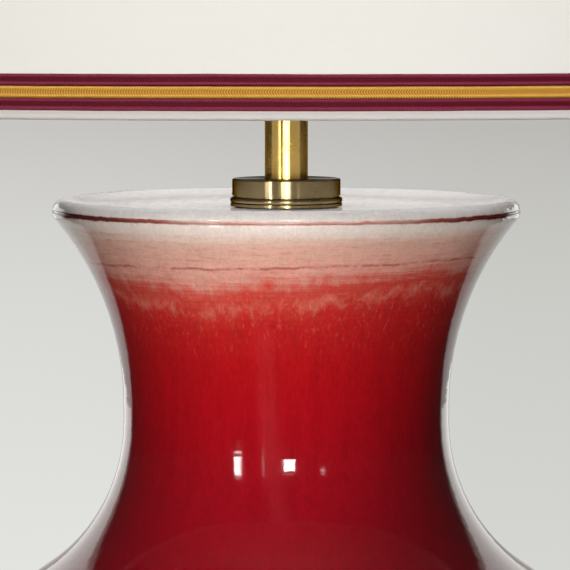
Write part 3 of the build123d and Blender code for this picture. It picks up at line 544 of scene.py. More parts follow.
@dataclass(frozen=True)
class WovenCloth(Finish):
    """Plain-weave cloth read by the piece's own map, in metres along and up the cloth."""

    name: str
    colour: Colour
    shade: Colour
    pitch: float = 0.42 * MM
    relief: float = 0.05 * MM
    sheen: float = 0.15

    def material(self) -> Material:
        """Builds the cloth."""
        s = Surface(self.name)
        cloth = s.get("ShaderNodeUVMap", uv_map="cloth")
        along, up, _ = s.axes(cloth)
        slub_warp = s.grain(cloth, (2400, 90, 1))
        slub_weft = s.grain(cloth, (90, 2400, 1))
        pitch = TURN / self.pitch
        warp, weft = (s.math("SINE", s.times(way, pitch)) for way in (along, up))
        over, under = (s.math("SINE", s.times(way, pitch / 2)) for way in (along, up))
        threads = s.plus(s.times(warp, warp, 0.25), s.times(weft, weft, 0.25), s.times(over, under, 0.2),
                         s.times(s.plus(slub_warp, slub_weft), 0.35))
        clouds = s.grain(cloth, (14, 14, 1))
        share = s.plus(s.between(threads, 0.25, 0.75, 0.3, 0.0), s.times(clouds, 0.25))
        return s.set(Base_Color=s.mix(share, self.colour, self.shade),
                     Roughness=s.between(slub_warp, 0.3, 0.7, 0.78, 0.92),
                     Normal=s.bump(threads, self.relief), Sheen_Weight=self.sheen, Sheen_Roughness=0.5)


class BraidColour(Enum):
    """The two rayon braids: the cord's own colour, then two darker tones of it that are painted shade, the
    deep shade for hollows and the half shade for rib tops in the groove.
    """

    BURGUNDY = (linear(154, 56, 86), linear(70, 5, 15), linear(108, 24, 40))
    GOLD = (linear(244, 194, 94), linear(166, 112, 26), linear(214, 160, 76))


@dataclass(frozen=True)
class RayonBraid(Finish):
    """Satin braid yarn. Its piece says where the ribs and grooves are, and the yarn's colour is painted
    darker there as shade.
    """

    colour: BraidColour

    def material(self) -> Material:
        """Builds the yarn."""
        s = Surface(f"{self.colour.name.lower()}_rayon")
        cord, groove, crest = self.colour.value
        rib, height = (s.add("ShaderNodeAttribute", attribute_name=name).outputs["Fac"]
                       for name in ("rib", "height"))
        yarn = s.noise(s.place, 900.0, 4.0)
        # Painted shade: the crease between a cord's two plies, the hollows between its ribs, the groove
        # between the cords and the braid's edges are all drawn in the darker tones; only the yarn noise is
        # the yarn's own uneven colour.
        ply_crease_shade = s.between(s.apart(height, 0.86), 0.0, 0.09, 0.45, 1.0)
        lightness = s.times(ply_crease_shade, s.between(yarn, 0.25, 0.7, 0.76, 1.0), s.between(rib, 0.1, 0.9, 0.5, 1.0))
        # The rib tops in the groove take the half-shade tone and their hollows the deep shade, both
        # painted.
        rib_shading = s.mix(s.between(rib, 0.25, 0.85), groove, crest)
        colour = s.mix(s.between(height, 0.3, 0.75), rib_shading, s.mix(lightness, groove, cord))
        return s.set(Base_Color=colour, Roughness=s.between(yarn, 0.3, 0.7, 0.48, 0.62),
                     Specular_IOR_Level=0.22, Sheen_Weight=0.08, Sheen_Roughness=0.35,
                     Sheen_Tint=cord, Normal=s.bump(yarn, 0.03 * MM))


class Recipe(Graph):
    """A geometry node tree with named inputs, run once and kept as a plain mesh."""

    def __init__(self, name: str) -> None:
        """Starts an empty tree.

        Args:
            name: The tree's name.
        """
        tree = bpy.data.node_groups.new(name, "GeometryNodeTree")
        tree.interface.new_socket("Geometry", in_out="OUTPUT", socket_type="NodeSocketGeometry")
        super().__init__(tree)
        self.start = tree.nodes.new("NodeGroupInput")
        self.end = tree.nodes.new("NodeGroupOutput")
        self.values: dict[str, float | int] = {}

    def size(self, name: str, value: float | int) -> Socket:
        """Adds a named input.

        Args:
            name: The input's name.
            value: What it holds, a whole number or a length.

        Returns:
            The socket that gives it to the tree.
        """
        kind = "NodeSocketInt" if isinstance(value, int) else "NodeSocketFloat"
        socket = self.tree.interface.new_socket(name, in_out="INPUT", socket_type=kind)
        self.values[socket.identifier] = value
        return self.start.outputs[name]

    def keep(self, geometry: Value, name: str, value: Value) -> Socket:
        """Stores a number on each point under a name that a material can read."""
        values = {"Geometry": geometry, "Name": name, "Value": value}
        return self.get("GeometryNodeStoreNamedAttribute", values, data_type="FLOAT", domain="POINT")

    def run(self, geometry: Value, piece: str, material: Material) -> Object:
        """Ends the tree and turns its result into a mesh object.

        Args:
            geometry: The socket with the finished geometry.
            piece: The new piece's name.
            material: The finish that the whole piece takes.

        Returns:
            The piece, at the origin, with its place in its mesh.
        """
        real = self.get("GeometryNodeRealizeInstances", {0: geometry})
        finished = self.get("GeometryNodeSetMaterial", {"Geometry": real, "Material": material})
        self.tree.links.new(finished, self.end.inputs[0])
        carrier = linked(f"{piece}_carrier", bpy.data.meshes.new(f"{piece}_carrier"))
        modifier = carrier.modifiers.new("recipe", "NODES")
        modifier.node_group = self.tree
        for identifier, value in self.values.items():
            modifier[identifier] = value
        depsgraph = bpy.context.evaluated_depsgraph_get()
        mesh = bpy.data.meshes.new_from_object(carrier.evaluated_get(depsgraph))
        bpy.data.objects.remove(carrier)
        mesh.name = piece
        mesh.shade_smooth()
        return linked(piece, mesh)


def linked(name: str, data: bpy.types.ID) -> Object:
    """Puts a mesh, light or camera in the scene as an object of its own."""
    thing = bpy.data.objects.new(name, data)
    bpy.context.scene.collection.objects.link(thing)
    return thing


def sheet_faces(rows: int, columns: int) -> np.ndarray:
    """The four-sided faces of a grid of points that is closed both ways.

    Args:
        rows: How many points the grid has one way.
        columns: How many points it has the other way.

    Returns:
        The faces, as numbers of points that run row by row.
    """
    row, column = np.arange(rows)[:, None], np.arange(columns)[None, :]
    row_next, column_next = (row + 1) % rows, (column + 1) % columns
    corners = (row * columns + column, row_next * columns + column,
               row_next * columns + column_next, row * columns + column_next)
    return np.stack(corners, -1).reshape(-1, 4)


def ring_points(radius: np.ndarray, height: np.ndarray, turn: np.ndarray) -> np.ndarray:
    """The points at radii, heights and angles about the lamp's axis, in metres."""
    radius, height, turn = np.broadcast_arrays(radius, height, turn)
    return np.stack([radius * np.cos(turn), radius * np.sin(turn), height], -1)


def whole_turn(steps: int) -> np.ndarray:
    """Angles all the way round, one in each row."""
    return np.linspace(0, TURN, steps, endpoint=False)[:, None]


def mesh_piece(name: str, points: np.ndarray, faces: np.ndarray, material: Material,
               cloth_map: np.ndarray | None = None) -> Object:
    """Makes a smooth piece from points and faces.

    Args:
        name: The piece's name.
        points: One row for each point, in metres.
        faces: One row of point numbers for each face.
        material: The piece's finish.
        cloth_map: The place of each point on the flat cloth, in metres.

    Returns:
        The piece.
    """
    mesh = bpy.data.meshes.new(name)
    mesh.from_pydata(points.reshape(-1, 3).tolist(), [], faces.tolist())
    mesh.materials.append(material)
    if cloth_map is not None:
        layer = mesh.uv_layers.new(name="cloth")
        corners = np.empty(len(mesh.loops), dtype=np.int32)
        mesh.loops.foreach_get("vertex_index", corners)
        layer.uv.foreach_set("vector", cloth_map.reshape(-1, 2)[corners].astype(np.float32).ravel())
    mesh.shade_smooth()
    mesh.validate()
    return linked(name, mesh)


def dress(finish: Finish | Material, *nodes: str) -> None:
    """Gives CAD nodes a finish.

    Args:
        finish: The finish, or a material made from one.
        nodes: The nodes' names.
    """
    material = finish.material() if isinstance(finish, Finish) else finish
    for node in nodes:
        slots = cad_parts[node].data.materials
        slots.clear()
        slots.append(material)
        log.info("dressed %s in %s", node, material.name)


def settle(piece: Object, body: str, slot: str, *nodes: str) -> Object:
    """Lets a piece stand for CAD nodes.

    Args:
        piece: The piece.
        body: The body that it rides on.
        slot: A finish slot's name, which is not used.
        nodes: The nodes that it replaces.

    Returns:
        The piece.
    """
    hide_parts(*nodes)
    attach(piece, body)
    log.info("built %s with %d faces", piece.name, len(piece.data.polygons))
    return piece


@dataclass(frozen=True)
class FeltRing:
    """A flat felt ring with soft edges, whose sides ripple a little."""

    node: str
    width: float
    edge: float = 0.45 * MM
    ripple: float = 0.12 * MM
    waves: int = 23
    steps: int = 240

    def section(self) -> np.ndarray:
        """The ring's closed section from its CAD node's box, outer side first.

        Returns:
            Points of radius and height, in order.
        """
        low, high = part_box(self.node)
        inner, outer = high.x - self.width + 2 * self.edge, high.x - 2 * self.edge
        base, top = low.z + self.edge, high.z - self.edge
        corners = ((outer, base, -90), (outer, top, 0), (inner, top, 90), (inner, base, 180))
        turns = [(r, z, math.radians(start + part * 30)) for r, z, start in corners for part in range(4)]
        return np.array([(r + self.edge * math.cos(a), z + self.edge * math.sin(a)) for r, z, a in turns])

    def build(self, material: Material) -> None:
        """Sweeps the section round and lets the ring stand for its CAD node.

        Args:
            material: The felt.
        """
        turn = whole_turn(self.steps)
        radius, height = self.section().T
        wave = np.sin(self.waves * turn) + 0.6 * np.sin((2 * self.waves + 5) * turn + 1.3)
        points = ring_points(radius + self.ripple * wave, height, turn)
        ring = mesh_piece(f"{self.node}_ring", points, sheet_faces(self.steps, len(radius)), material)
        settle(ring, "lamp", "felt", self.node)


@dataclass
class WoodBase:
    """The turned base with its felt, cover, inlet and terminal block."""

    def build(self) -> None:
        """Builds the felt rings and dresses the rest."""
        felt = PressedSheet("black_felt", linear(38, 36, 36), linear(84, 80, 78)).material()
        for node, width in (("base_felt", 24 * MM), ("base_seat_ring", 8 * MM)):
            FeltRing(node, width).build(felt)
        dress(TurnedWood(), "wood_base")
        dress(PressedSheet("pressed_board", linear(52, 44, 38), linear(96, 84, 72), 0.04 * MM, 0.0),
              "base_cover", "socket_liner")
        dress(PolishedMetal("zinc_plate", linear(196, 198, 200), linear(150, 150, 148), 0.28),
              "cover_screws", "block_screw", "clamp_screws", "lower_nut", "lower_washer", "threaded_rod",
              "socket_set_screw", "lower_ring", "upper_ring")
        dress(Moulding("white_nylon", linear(226, 224, 216), 0.42, 0.03), "terminal_block")
        dress(Moulding("gold_sheath", linear(196, 158, 84), 0.34, 0.08), "inner_lead")


@dataclass
class JarAndNeck:
    """The glazed jar with the brass collar and neck tube on it."""

    edge: Colour = linear(92, 76, 50)

    def build(self) -> None:
        """Dresses the jar and its brass."""
        low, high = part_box("jar")
        dress(CopperRedGlaze(high.z, high.z - low.z), "jar")
        dress(Moulding("washer_rubber", linear(120, 116, 108), 0.5), "top_washer")
        dress(PolishedMetal("bright_brass", (0.90, 0.60, 0.18), (0.82, 0.52, 0.14), 0.22, (60, 60, 3000),
                            0.8, self.edge), "neck_tube")
        dress(PolishedMetal("collar_brass", (0.40, 0.31, 0.16), (0.24, 0.18, 0.09), 0.2, (60, 60, 4000),
                            1.0, self.edge), "collar")


@dataclass
class HarpSet:
    """Harp, saddle, sleeves, rest and finial."""

    def build(self) -> None:
        """Dresses the harp's brass."""
        dress(PolishedMetal("harp_brass", (0.80, 0.58, 0.26), (0.56, 0.38, 0.16), 0.22, (1800, 1800, 1800)),
              "harp", "harp_saddle", "harp_sleeve_left", "harp_sleeve_right", "harp_rest", "saddle_nut",
              "fitter_hub", "fitter_arms", "cord_inlet")
        dress(PolishedMetal("finial_brass", (0.85, 0.61, 0.24), (0.58, 0.38, 0.14), 0.14, (60, 60, 6000)),
              "finial")


@dataclass
class ThreadedSleeve:
    """Thin metal rolled into a round screw thread, closed at both ends."""

    name: str
    body: str
    node: str
    crest_r: float
    depth: float
    wall: float
    low_z: float
    high_z: float
    pitch: float = 3.6 * MM
    steps: int = 96
    rows: int = 72

    def build(self, material: Material, foot: tuple[tuple[float, float], ...] = ()) -> None:
        """Rolls the thread and lets it stand for its CAD node.

        Args:
            material: The sleeve's finish.
            foot: More section points below the thread, radius and height, going up.
        """
        turn = whole_turn(self.steps)
        height = np.linspace(self.low_z, self.high_z, self.rows)[None, :]
        fade = np.clip(np.minimum(height - self.low_z, self.high_z - height) / self.pitch, 0, 1)
        wave = 0.5 - 0.5 * np.cos(TURN * (height / self.pitch - turn / TURN))
        outer = self.crest_r - self.depth * wave * fade
        height = height + 0 * turn
        if foot:
            foot_r, foot_z = (np.array(foot).T[k][None, :] + 0 * turn for k in range(2))
            outer = np.concatenate([foot_r, outer], 1)
            height = np.concatenate([foot_z, height], 1)
        radius = np.concatenate([outer, outer[:, ::-1] - self.wall], 1)
        points = ring_points(radius, np.concatenate([height, height[:, ::-1]], 1), turn)
        piece = mesh_piece(self.name, points, sheet_faces(self.steps, radius.shape[1]), material)
        settle(piece, self.body, "bulb_aluminium", self.node)


@dataclass
class SocketAndBulb:
    """The turn-key socket, its moulded body and key, and the bulb."""

    cap_wall: float = 0.35 * MM
    shell_wall: float = 0.5 * MM
    thread_depth: float = 0.75 * MM
    bevel: float = 2.0 * MM
    foot_inset: float = 2.6 * MM
    shoulder_inset: float = 1.2 * MM

    def threads(self, rolled: Material) -> None:
        """Rolls the threads of the bulb's cap and of the socket's shell.

        Args:
            rolled: Their finish.
        """
        low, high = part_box("bulb_cap")
        foot = ((high.x - self.foot_inset, low.z), (high.x - self.shoulder_inset, low.z + 0.5 * self.bevel))
        ThreadedSleeve("bulb_screw_cap", "bulb", "bulb_cap", high.x, self.thread_depth, self.cap_wall,
                       low.z + self.bevel, high.z).build(rolled, foot)
        low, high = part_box("thread_shell")
        ThreadedSleeve("socket_screw_shell", "lamp", "thread_shell", high.x + self.thread_depth,
                       self.thread_depth, self.shell_wall, low.z, high.z).build(rolled)

    def build(self) -> None:
        """Builds both screw threads and dresses the rest."""
        dress(PolishedMetal("socket_brass", (0.82, 0.60, 0.27), (0.58, 0.40, 0.17), 0.2, (80, 80, 5000)),
              "socket_cap", "socket_shell", "terminal_screws", "centre_contact")
        dress(Moulding("black_moulding", linear(30, 27, 26), 0.32, 0.12), "socket_body", "switch_key")
        rolled = PolishedMetal("rolled_aluminium", (0.78, 0.78, 0.79), (0.55, 0.55, 0.56), 0.3,
                               (80, 80, 4000)).material()
        self.threads(rolled)
        dress(rolled, "bulb_button")
        dress(BulbGlass("opal_glass", linear(243, 242, 238), 0.12, 0.22), "bulb_glass")
        dress(BulbGlass("clear_glass", linear(240, 244, 244), 0.95, 0.03), "bulb_stem")
        dress(Moulding("black_glass", linear(16, 16, 20), 0.12, 0.05), "bulb_insulator")
        dress(Moulding("tungsten_wire", (0.30, 0.30, 0.32), 0.35, 0.1, 1.0), "bulb_filament")


@dataclass
class ConeShade:
    """The cone shade: cloth on a stiff backing, taped and braided along both edges."""

    foot_r: float = 200 * MM
    rim_r: float = 150 * MM
    height: float = 263.4 * MM
    hub_drop: float = 12 * MM
    hub_t: float = 2 * MM
    cloth_t: float = 0.6 * MM
    backing_t: float = 0.5 * MM
    tuck: float = 1.0 * MM
    tape_t: float = 0.4 * MM
    tape_h: float = 10.4 * MM
    tape_foot: float = 5 * MM
    tape_wave: float = 0.10 * MM
    bed: float = 0.02 * MM
    wire_r: float = 1.1 * MM
    wire_gap: float = 0.1 * MM
    braid_w: float = 2.98 * MM
    braid_gap: float = -0.04 * MM
    braid_rise: float = 1.8 * MM
    crown_t: float = 1.2 * MM
    groove_t: float = 0.62 * MM
    rib_t: float = 0.16 * MM
    cord_at: float = 0.31
    front_share: float = 0.8
    wander: float = 0.16 * MM
    stitch: float = 0.64 * MM
    seam_w: float = 9 * MM
    seam_t: float = 0.45 * MM
    seam_fade: float = 3 * MM

    def __post_init__(self) -> None:
        """Works out the wall's foot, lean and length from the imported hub."""
        self.foot_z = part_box("finial")[0].z - self.hub_t + self.hub_drop - self.height
        self.lean = math.atan2(self.foot_r - self.rim_r, self.height)
        self.slant = math.hypot(self.foot_r - self.rim_r, self.height)

    def place(self, out: np.ndarray, along: np.ndarray, turn: np.ndarray) -> np.ndarray:
        """The points at a distance out from the wall's inner cloth face and along it from its foot.

        Args:
            out: Distances square to the wall, outwards.
            along: Distances up the wall from its lower edge.
            turn: Angles about the lamp's axis, in radians.

        Returns:
            The points, in metres.
        """
        radius = self.foot_r + out * math.cos(self.lean) - along * math.sin(self.lean)
        height = self.foot_z + out * math.sin(self.lean) + along * math.cos(self.lean)
        return ring_points(radius, height, turn)

    def cloth(self) -> Object:
        """The cloth, with a lapped seam down the back.

        Returns:
            The cloth, with its flat place as a map.
        """
        columns, rows, back = 300, 60, math.pi / 2
        middle_r = 0.5 * (self.foot_r + self.rim_r)
        spread = self.seam_w / middle_r
        turn = np.linspace(back + spread, back + TURN - 0.02 * spread, columns)
        turn = np.concatenate([turn, back + spread * np.linspace(0.0, 0.9, 7)])
        lap = np.where(np.arange(len(turn)) < columns, 0.0, 1.0)
        lap[-1] = 0.7
        along = np.linspace(self.tuck, self.slant - self.tuck, rows)
        inside = np.minimum(along, self.slant - along)
        window = np.clip((inside - self.tape_h) / self.seam_fade, 0, 1)
        out = self.cloth_t + self.seam_t * lap[:, None] * window[None, :]
        outer = self.place(out, along[None, :], turn[:, None])
        inner = self.place(np.zeros_like(out), along[None, ::-1], turn[:, None])
        points = np.concatenate([outer, inner], 1)
        both_ways = np.concatenate([along, along[::-1]])[None, :]
        flat = np.stack(np.broadcast_arrays(turn[:, None] * middle_r, both_ways), -1)
        material = WovenCloth("cream_cloth", linear(244, 242, 236), linear(232, 228, 216)).material()
        return mesh_piece("shade_cloth", points, sheet_faces(len(turn), 2 * rows), material, flat)

    def tape_section(self) -> np.ndarray:
        """The folded tape's closed section, from its foot up the outside and down round the wire.

        Returns:
            Points of distance out from the wall and along it, in order.
        """
        face = self.cloth_t + self.tape_t
        inner = -self.backing_t
        wire_in = inner - self.wire_gap - self.wire_r
        wire_up = self.tape_t + self.wire_r
        roll = self.wire_r + self.tape_t
        fold = [math.radians(a) for a in range(-90, 1, 15)]
        tuck = self.tuck
        section = [(face - tuck + tuck * math.cos(a), tuck + tuck * math.sin(a)) for a in fold]
        section += [(face, tuck + (self.tape_h - tuck) * part) for part in (0.2, 0.5, 0.8, 0.97)]
        section += [
            (face - 0.15 * MM, self.tape_h), (self.cloth_t + self.bed, self.tape_h),
            (self.cloth_t + self.bed, tuck), (inner - self.bed, tuck),
            (inner - self.bed, self.tape_h), (inner - self.tape_t, self.tape_h),
            (inner - self.tape_t, self.tape_foot), (wire_in - roll * 0.95, wire_up + 0.8 * MM),
        ]
        fold = [math.radians(a) for a in range(180, 271, 15)]
        section += [(wire_in + roll * math.cos(a), wire_up + roll * math.sin(a)) for a in fold]
        return np.array(section)

    def tape(self, name: str, upper: bool, material: Material) -> Object:
        """The cloth tape folded round an edge and its wire.

        Args:
            name: The piece's name.
            upper: Whether it goes round the upper edge.
            material: The tape's cloth.

        Returns:
            The tape, slightly uneven along its edges.
        """
        out, along = self.tape_section().T
        length = np.concatenate([[0], np.cumsum(np.hypot(np.diff(out), np.diff(along)))])
        turn = whole_turn(480)
        wave = 0.6 * np.sin(31 * turn + 0.7) + 0.4 * np.sin(77 * turn) + 0.5 * np.sin(13 * turn + 2.0)
        edge = np.clip((along - 0.9 * self.tape_h) / (0.1 * self.tape_h), 0, 1)
        along = along + self.tape_wave * wave * edge
        if upper:
            along = self.slant - along
            turn = -turn
        flat = np.stack(np.broadcast_arrays(turn * self.foot_r, length[None, :]), -1)
        faces = sheet_faces(len(turn), len(out))
        return mesh_piece(name, self.place(out, along, turn), faces, material, flat)

    def braid(self, name: str, rise: float, yarn: Material, seed: int) -> Object:
        """One flat braid: two ribbed cords side by side, wandering a little as it goes round.

        Args:
            name: The piece's name.
            rise: The braid's lower edge, up the wall from the shade's foot.
            yarn: The yarn that it is made of.
            seed: What makes its wander its own.

        Returns:
            The braid as one closed mesh.
        """
        r = Recipe(name)
        stitches = round(TURN * (self.foot_r - rise * math.sin(self.lean)) / self.stitch)
        sizes = {"Foot radius": self.foot_r, "Foot height": self.foot_z, "Lean": self.lean,
                 "Seat": self.cloth_t + self.tape_t, "Rise": rise, "Width": self.braid_w,
                 "Crown": self.crown_t, "Groove": self.groove_t, "Rib": self.rib_t,
                 "Wander": self.wander, "Seed": seed, "Stitches": stitches}
        foot_r, foot_z, lean, seat, low, width, crown, groove, rib, wander, own, stitches = (
            r.size(label, value) for label, value in sizes.items())

        columns = r.plus(r.times(stitches, 2.0), 1.0)
        grid = r.get("GeometryNodeMeshGrid", {"Size X": 1.0, "Size Y": 1.0, "Vertices X": columns,
                                              "Vertices Y": 21})
        u, v, _ = r.axes(r.vector("ADD", r.get("GeometryNodeInputPosition"), (0.5, 0.5, 0.0)))
        front = r.math("LESS_THAN", v, self.front_share + 0.01)
        back = r.minus(1.0, r.over(r.minus(v, self.front_share), 1 - self.front_share))
        across = r.get("GeometryNodeSwitch", {"Switch": front, "False": back,
                                              "True": r.over(v, self.front_share)}, input_type="FLOAT")
        from_middle = r.apart(across, 0.5)
        off_cord = r.over(r.minus(from_middle, self.cord_at), 0.5 - self.cord_at)
        arch = r.math("SQRT", r.minus(1.0, r.times(off_cord, off_cord), clamp=True))
        window = r.math("MAXIMUM", r.math("SINE", r.times(across, math.pi)), 0.0)
        window = r.math("POWER", window, 0.3)
        height = r.math("MAXIMUM", r.times(arch, crown), r.times(window, groove))

        parity = r.math("MODULO", r.math("ROUND", r.times(u, r.minus(columns, 1.0))), 2.0)
        ribbed = r.times(r.minus(parity, 0.5), rib, r.minus(1.15, arch))
        out = r.times(r.plus(height, ribbed), front)
        slip = r.over(r.times(from_middle, 2.4), stitches)
        turn = r.times(r.plus(u, slip), TURN)
        turn_cos, turn_sin = r.math("COSINE", turn), r.math("SINE", turn)

        circle = r.join(turn_cos, turn_sin, own)
        sway = r.swing(r.noise(circle, 7.0), r.times(wander, 2.0))
        swell = r.noise(circle, 31.0, 2.0)
        out = r.plus(r.times(out, r.plus(0.86, r.times(swell, 0.24))), seat)
        along = r.plus(low, sway, r.times(across, width))
        lean_cos, lean_sin = r.math("COSINE", lean), r.math("SINE", lean)
        reach = r.minus(r.plus(foot_r, r.times(out, lean_cos)), r.times(along, lean_sin))
        level = r.plus(foot_z, r.times(out, lean_sin), r.times(along, lean_cos))
        spot = r.join(r.times(reach, turn_cos), r.times(reach, turn_sin), level)
        kept = r.keep(grid, "rib", parity)
        kept = r.keep(kept, "height", r.times(arch, front))
        moved = r.get("GeometryNodeSetPosition", {"Geometry": kept, "Position": spot})
        closed = r.get("GeometryNodeMergeByDistance", {"Geometry": moved, "Distance": 0.002 * MM})
        return r.run(closed, name, yarn)

    def trims(self) -> list[Object]:
        """Builds the tape and three braids of each edge.

        Returns:
            The pieces, lower edge first.
        """
        yarns = {colour: RayonBraid(colour).material() for colour in BraidColour}
        tape_cloth = WovenCloth("hem_tape", linear(221, 214, 210), linear(196, 189, 186), 0.34 * MM,
                                0.04 * MM, 0.4).material()
        rows = (("edge", BraidColour.BURGUNDY), ("gold", BraidColour.GOLD), ("inner", BraidColour.BURGUNDY))
        trims = []
        for edge, upper in (("lower", False), ("upper", True)):
            tape = self.tape(f"{edge}_hem_tape", upper, tape_cloth)
            trims.append(settle(tape, "shade", "hem_cloth", f"{edge}_hem"))
            for row, (row_name, colour) in enumerate(rows):
                rise = self.braid_rise + row * (self.braid_w + self.braid_gap)
                if upper:
                    rise = self.slant - rise - self.braid_w
                name, seed = f"{edge}_{row_name}_flat_braid", 11 * row + 7 * upper
                braid = self.braid(name, rise, yarns[colour], seed)
                slot = f"{colour.name.lower()}_braid"
                trims.append(settle(braid, "shade", slot, f"{edge}_{row_name}_braid"))
        return trims

    def build(self) -> None:
        """Builds the cloth, tapes and braids, and dresses the backing."""
        trims = self.trims()
        cloth = settle(self.cloth(), "shade", "shade_cloth", "shade_fabric")
        dress(PressedSheet("white_backing", linear(240, 239, 235), linear(226, 224, 218), 0.02 * MM, 0.0),
              "shade_backing")


@dataclass(frozen=True)
class SoftBox:
    """A lamp that faces the table lamp's neck from a distance and an angle.

    Azimuth 0 is in front, and 90 to the right as the camera sees it. Width, height and distance are in
    metres, and roll turns the lamp about its own line of sight.
    """

    name: str
    azimuth: float
    elevation: float
    distance: float
    width: float
    height: float
    radiance: float
    only_on: tuple[str, ...] = ()
    not_on: tuple[str, ...] = ()
    aim_y: float = 0.0
    aim_z: float = 0.36
    colour: Colour = (1.0, 0.985, 0.96)
    roll: float = 0.0

    def build(self, gleam: bool) -> None:
        """Hangs the lamp up.

        Args:
            gleam: Whether it only shows in gloss, or else it only lights matt surfaces.
        """
        data = bpy.data.lights.new(self.name, "AREA")
        data.shape = "RECTANGLE"
        data.size, data.size_y = self.width, self.height
        data.energy = self.radiance * math.pi * self.width * self.height
        data.color = self.colour
        lamp = linked(self.name, data)
        turn, rise = math.radians(self.azimuth), math.radians(self.elevation)
        away = Vector((math.sin(turn) * math.cos(rise), -math.cos(turn) * math.cos(rise), math.sin(rise)))
        lamp.location = Vector((0.0, self.aim_y, self.aim_z)) + away * self.distance
        rolled = Matrix.Rotation(-math.radians(self.roll), 3, "Z")
        lamp.rotation_euler = (away.to_track_quat("Z", "Y").to_matrix() @ rolled).to_euler()
        lamp.visible_glossy, lamp.visible_diffuse, lamp.visible_camera = gleam, not gleam, False
        self.link(lamp)
        log.info("hung lamp %s", self.name)

    def link(self, lamp: Object) -> None:
        """Limits the lamp to some pieces, or keeps it off some.

        Args:
            lamp: The lamp's object.
        """
        if not (self.only_on or self.not_on):
            return
        chosen = bpy.data.collections.new(f"{self.name}_targets")
        for piece in self.only_on or self.not_on:
            chosen.objects.link(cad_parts.get(piece) or bpy.data.objects[piece])
        lamp.light_linking.receiver_collection = chosen
        for member in chosen.collection_objects:
            member.light_linking.link_state = "INCLUDE" if self.only_on else "EXCLUDE"


JAR = ("jar",)
SHADE = ("shade_cloth", "lower_hem_tape", "upper_hem_tape", "lower_edge_flat_braid",
         "lower_gold_flat_braid", "lower_inner_flat_braid")
INSIDE = ("shade_backing", "bulb_glass")
BRASS = ("collar", "harp", "finial", "harp_saddle", "socket_cap", "socket_shell")
TUBE = ("neck_tube",)

MATT_BOXES = (
    SoftBox("key", -12, 4, 2.4, 0.7, 0.7, 18.0, not_on=("jar", "studio_floor")),
    SoftBox("jar_key", -8, 0, 0.20, 0.04, 0.22, 10.6, JAR, aim_z=0.316, roll=12),
    SoftBox("neck_fill", 50, 0, 0.105, 0.04, 0.03, 1.0, JAR, aim_z=0.354),
    SoftBox("overhead", -20, 62, 2.2, 1.4, 1.0, 2.2, not_on=JAR),
    SoftBox("under_shade", 0, 90, 0.045, 0.14, 0.14, 1.66, aim_z=0.366, colour=(0.91, 0.95, 1.0)),
    SoftBox("bounce", 0, -30, 0.8, 0.3, 0.3, 0.2, JAR),
    SoftBox("shade_left", -56, 5, 2.4, 0.8, 0.8, 3.0, SHADE),
    SoftBox("shade_right", 40, 5, 2.4, 0.8, 0.8, 10.0, SHADE, colour=(0.96, 0.98, 1.0)),
    SoftBox("hem_fill", 0, -80, 0.3, 0.4, 0.1, 3.5, SHADE, aim_y=-0.2, aim_z=0.4),
    SoftBox("inner_front", 0, 52, 2.0, 0.8, 0.8, 2.4, INSIDE),
    SoftBox("inner_rear", 180, 52, 2.0, 0.8, 0.8, 2.4, INSIDE),
    SoftBox("rear", 180, 25, 2.4, 1.2, 1.2, 4.5, not_on=("studio_floor",)),
)
GLEAM_BOXES = (
    SoftBox("left_window", -34, 5, 2.6, 0.17, 0.52, 30.0),
    SoftBox("front_window", 1.6, 5.5, 2.6, 0.31, 0.30, 36.0),
    SoftBox("mid_window", -15, 5, 2.6, 0.04, 0.56, 5.0),
    SoftBox("right_window", 25, 7.5, 2.6, 0.07, 0.09, 24.0),
    SoftBox("left_panel", -152, -3, 2.2, 0.9, 2.2, 1.0, JAR),
    SoftBox("right_panel", 152, -3, 2.2, 0.9, 2.2, 1.0, JAR),
    SoftBox("brass_front", -1, 4, 1.6, 0.55, 0.6, 12.0, BRASS),
    SoftBox("brass_strip", -39, 4, 1.6, 0.34, 0.6, 4.5, BRASS),
    SoftBox("brass_left", -52, 0, 1.6, 1.6, 1.4, 0.24, BRASS),
    SoftBox("brass_right", 48, 0, 1.6, 1.6, 1.4, 0.14, BRASS),
    SoftBox("tube_front", 0, 4, 1.6, 0.95, 0.6, 11.0, TUBE),
    SoftBox("tube_strip", -41, 4, 1.6, 0.24, 0.6, 1.6, TUBE),
    SoftBox("tube_left", -56, 0, 1.6, 1.7, 1.4, 0.5, TUBE),
    SoftBox("tube_right", 50, 0, 1.6, 1.7, 1.4, 0.5, TUBE),
)


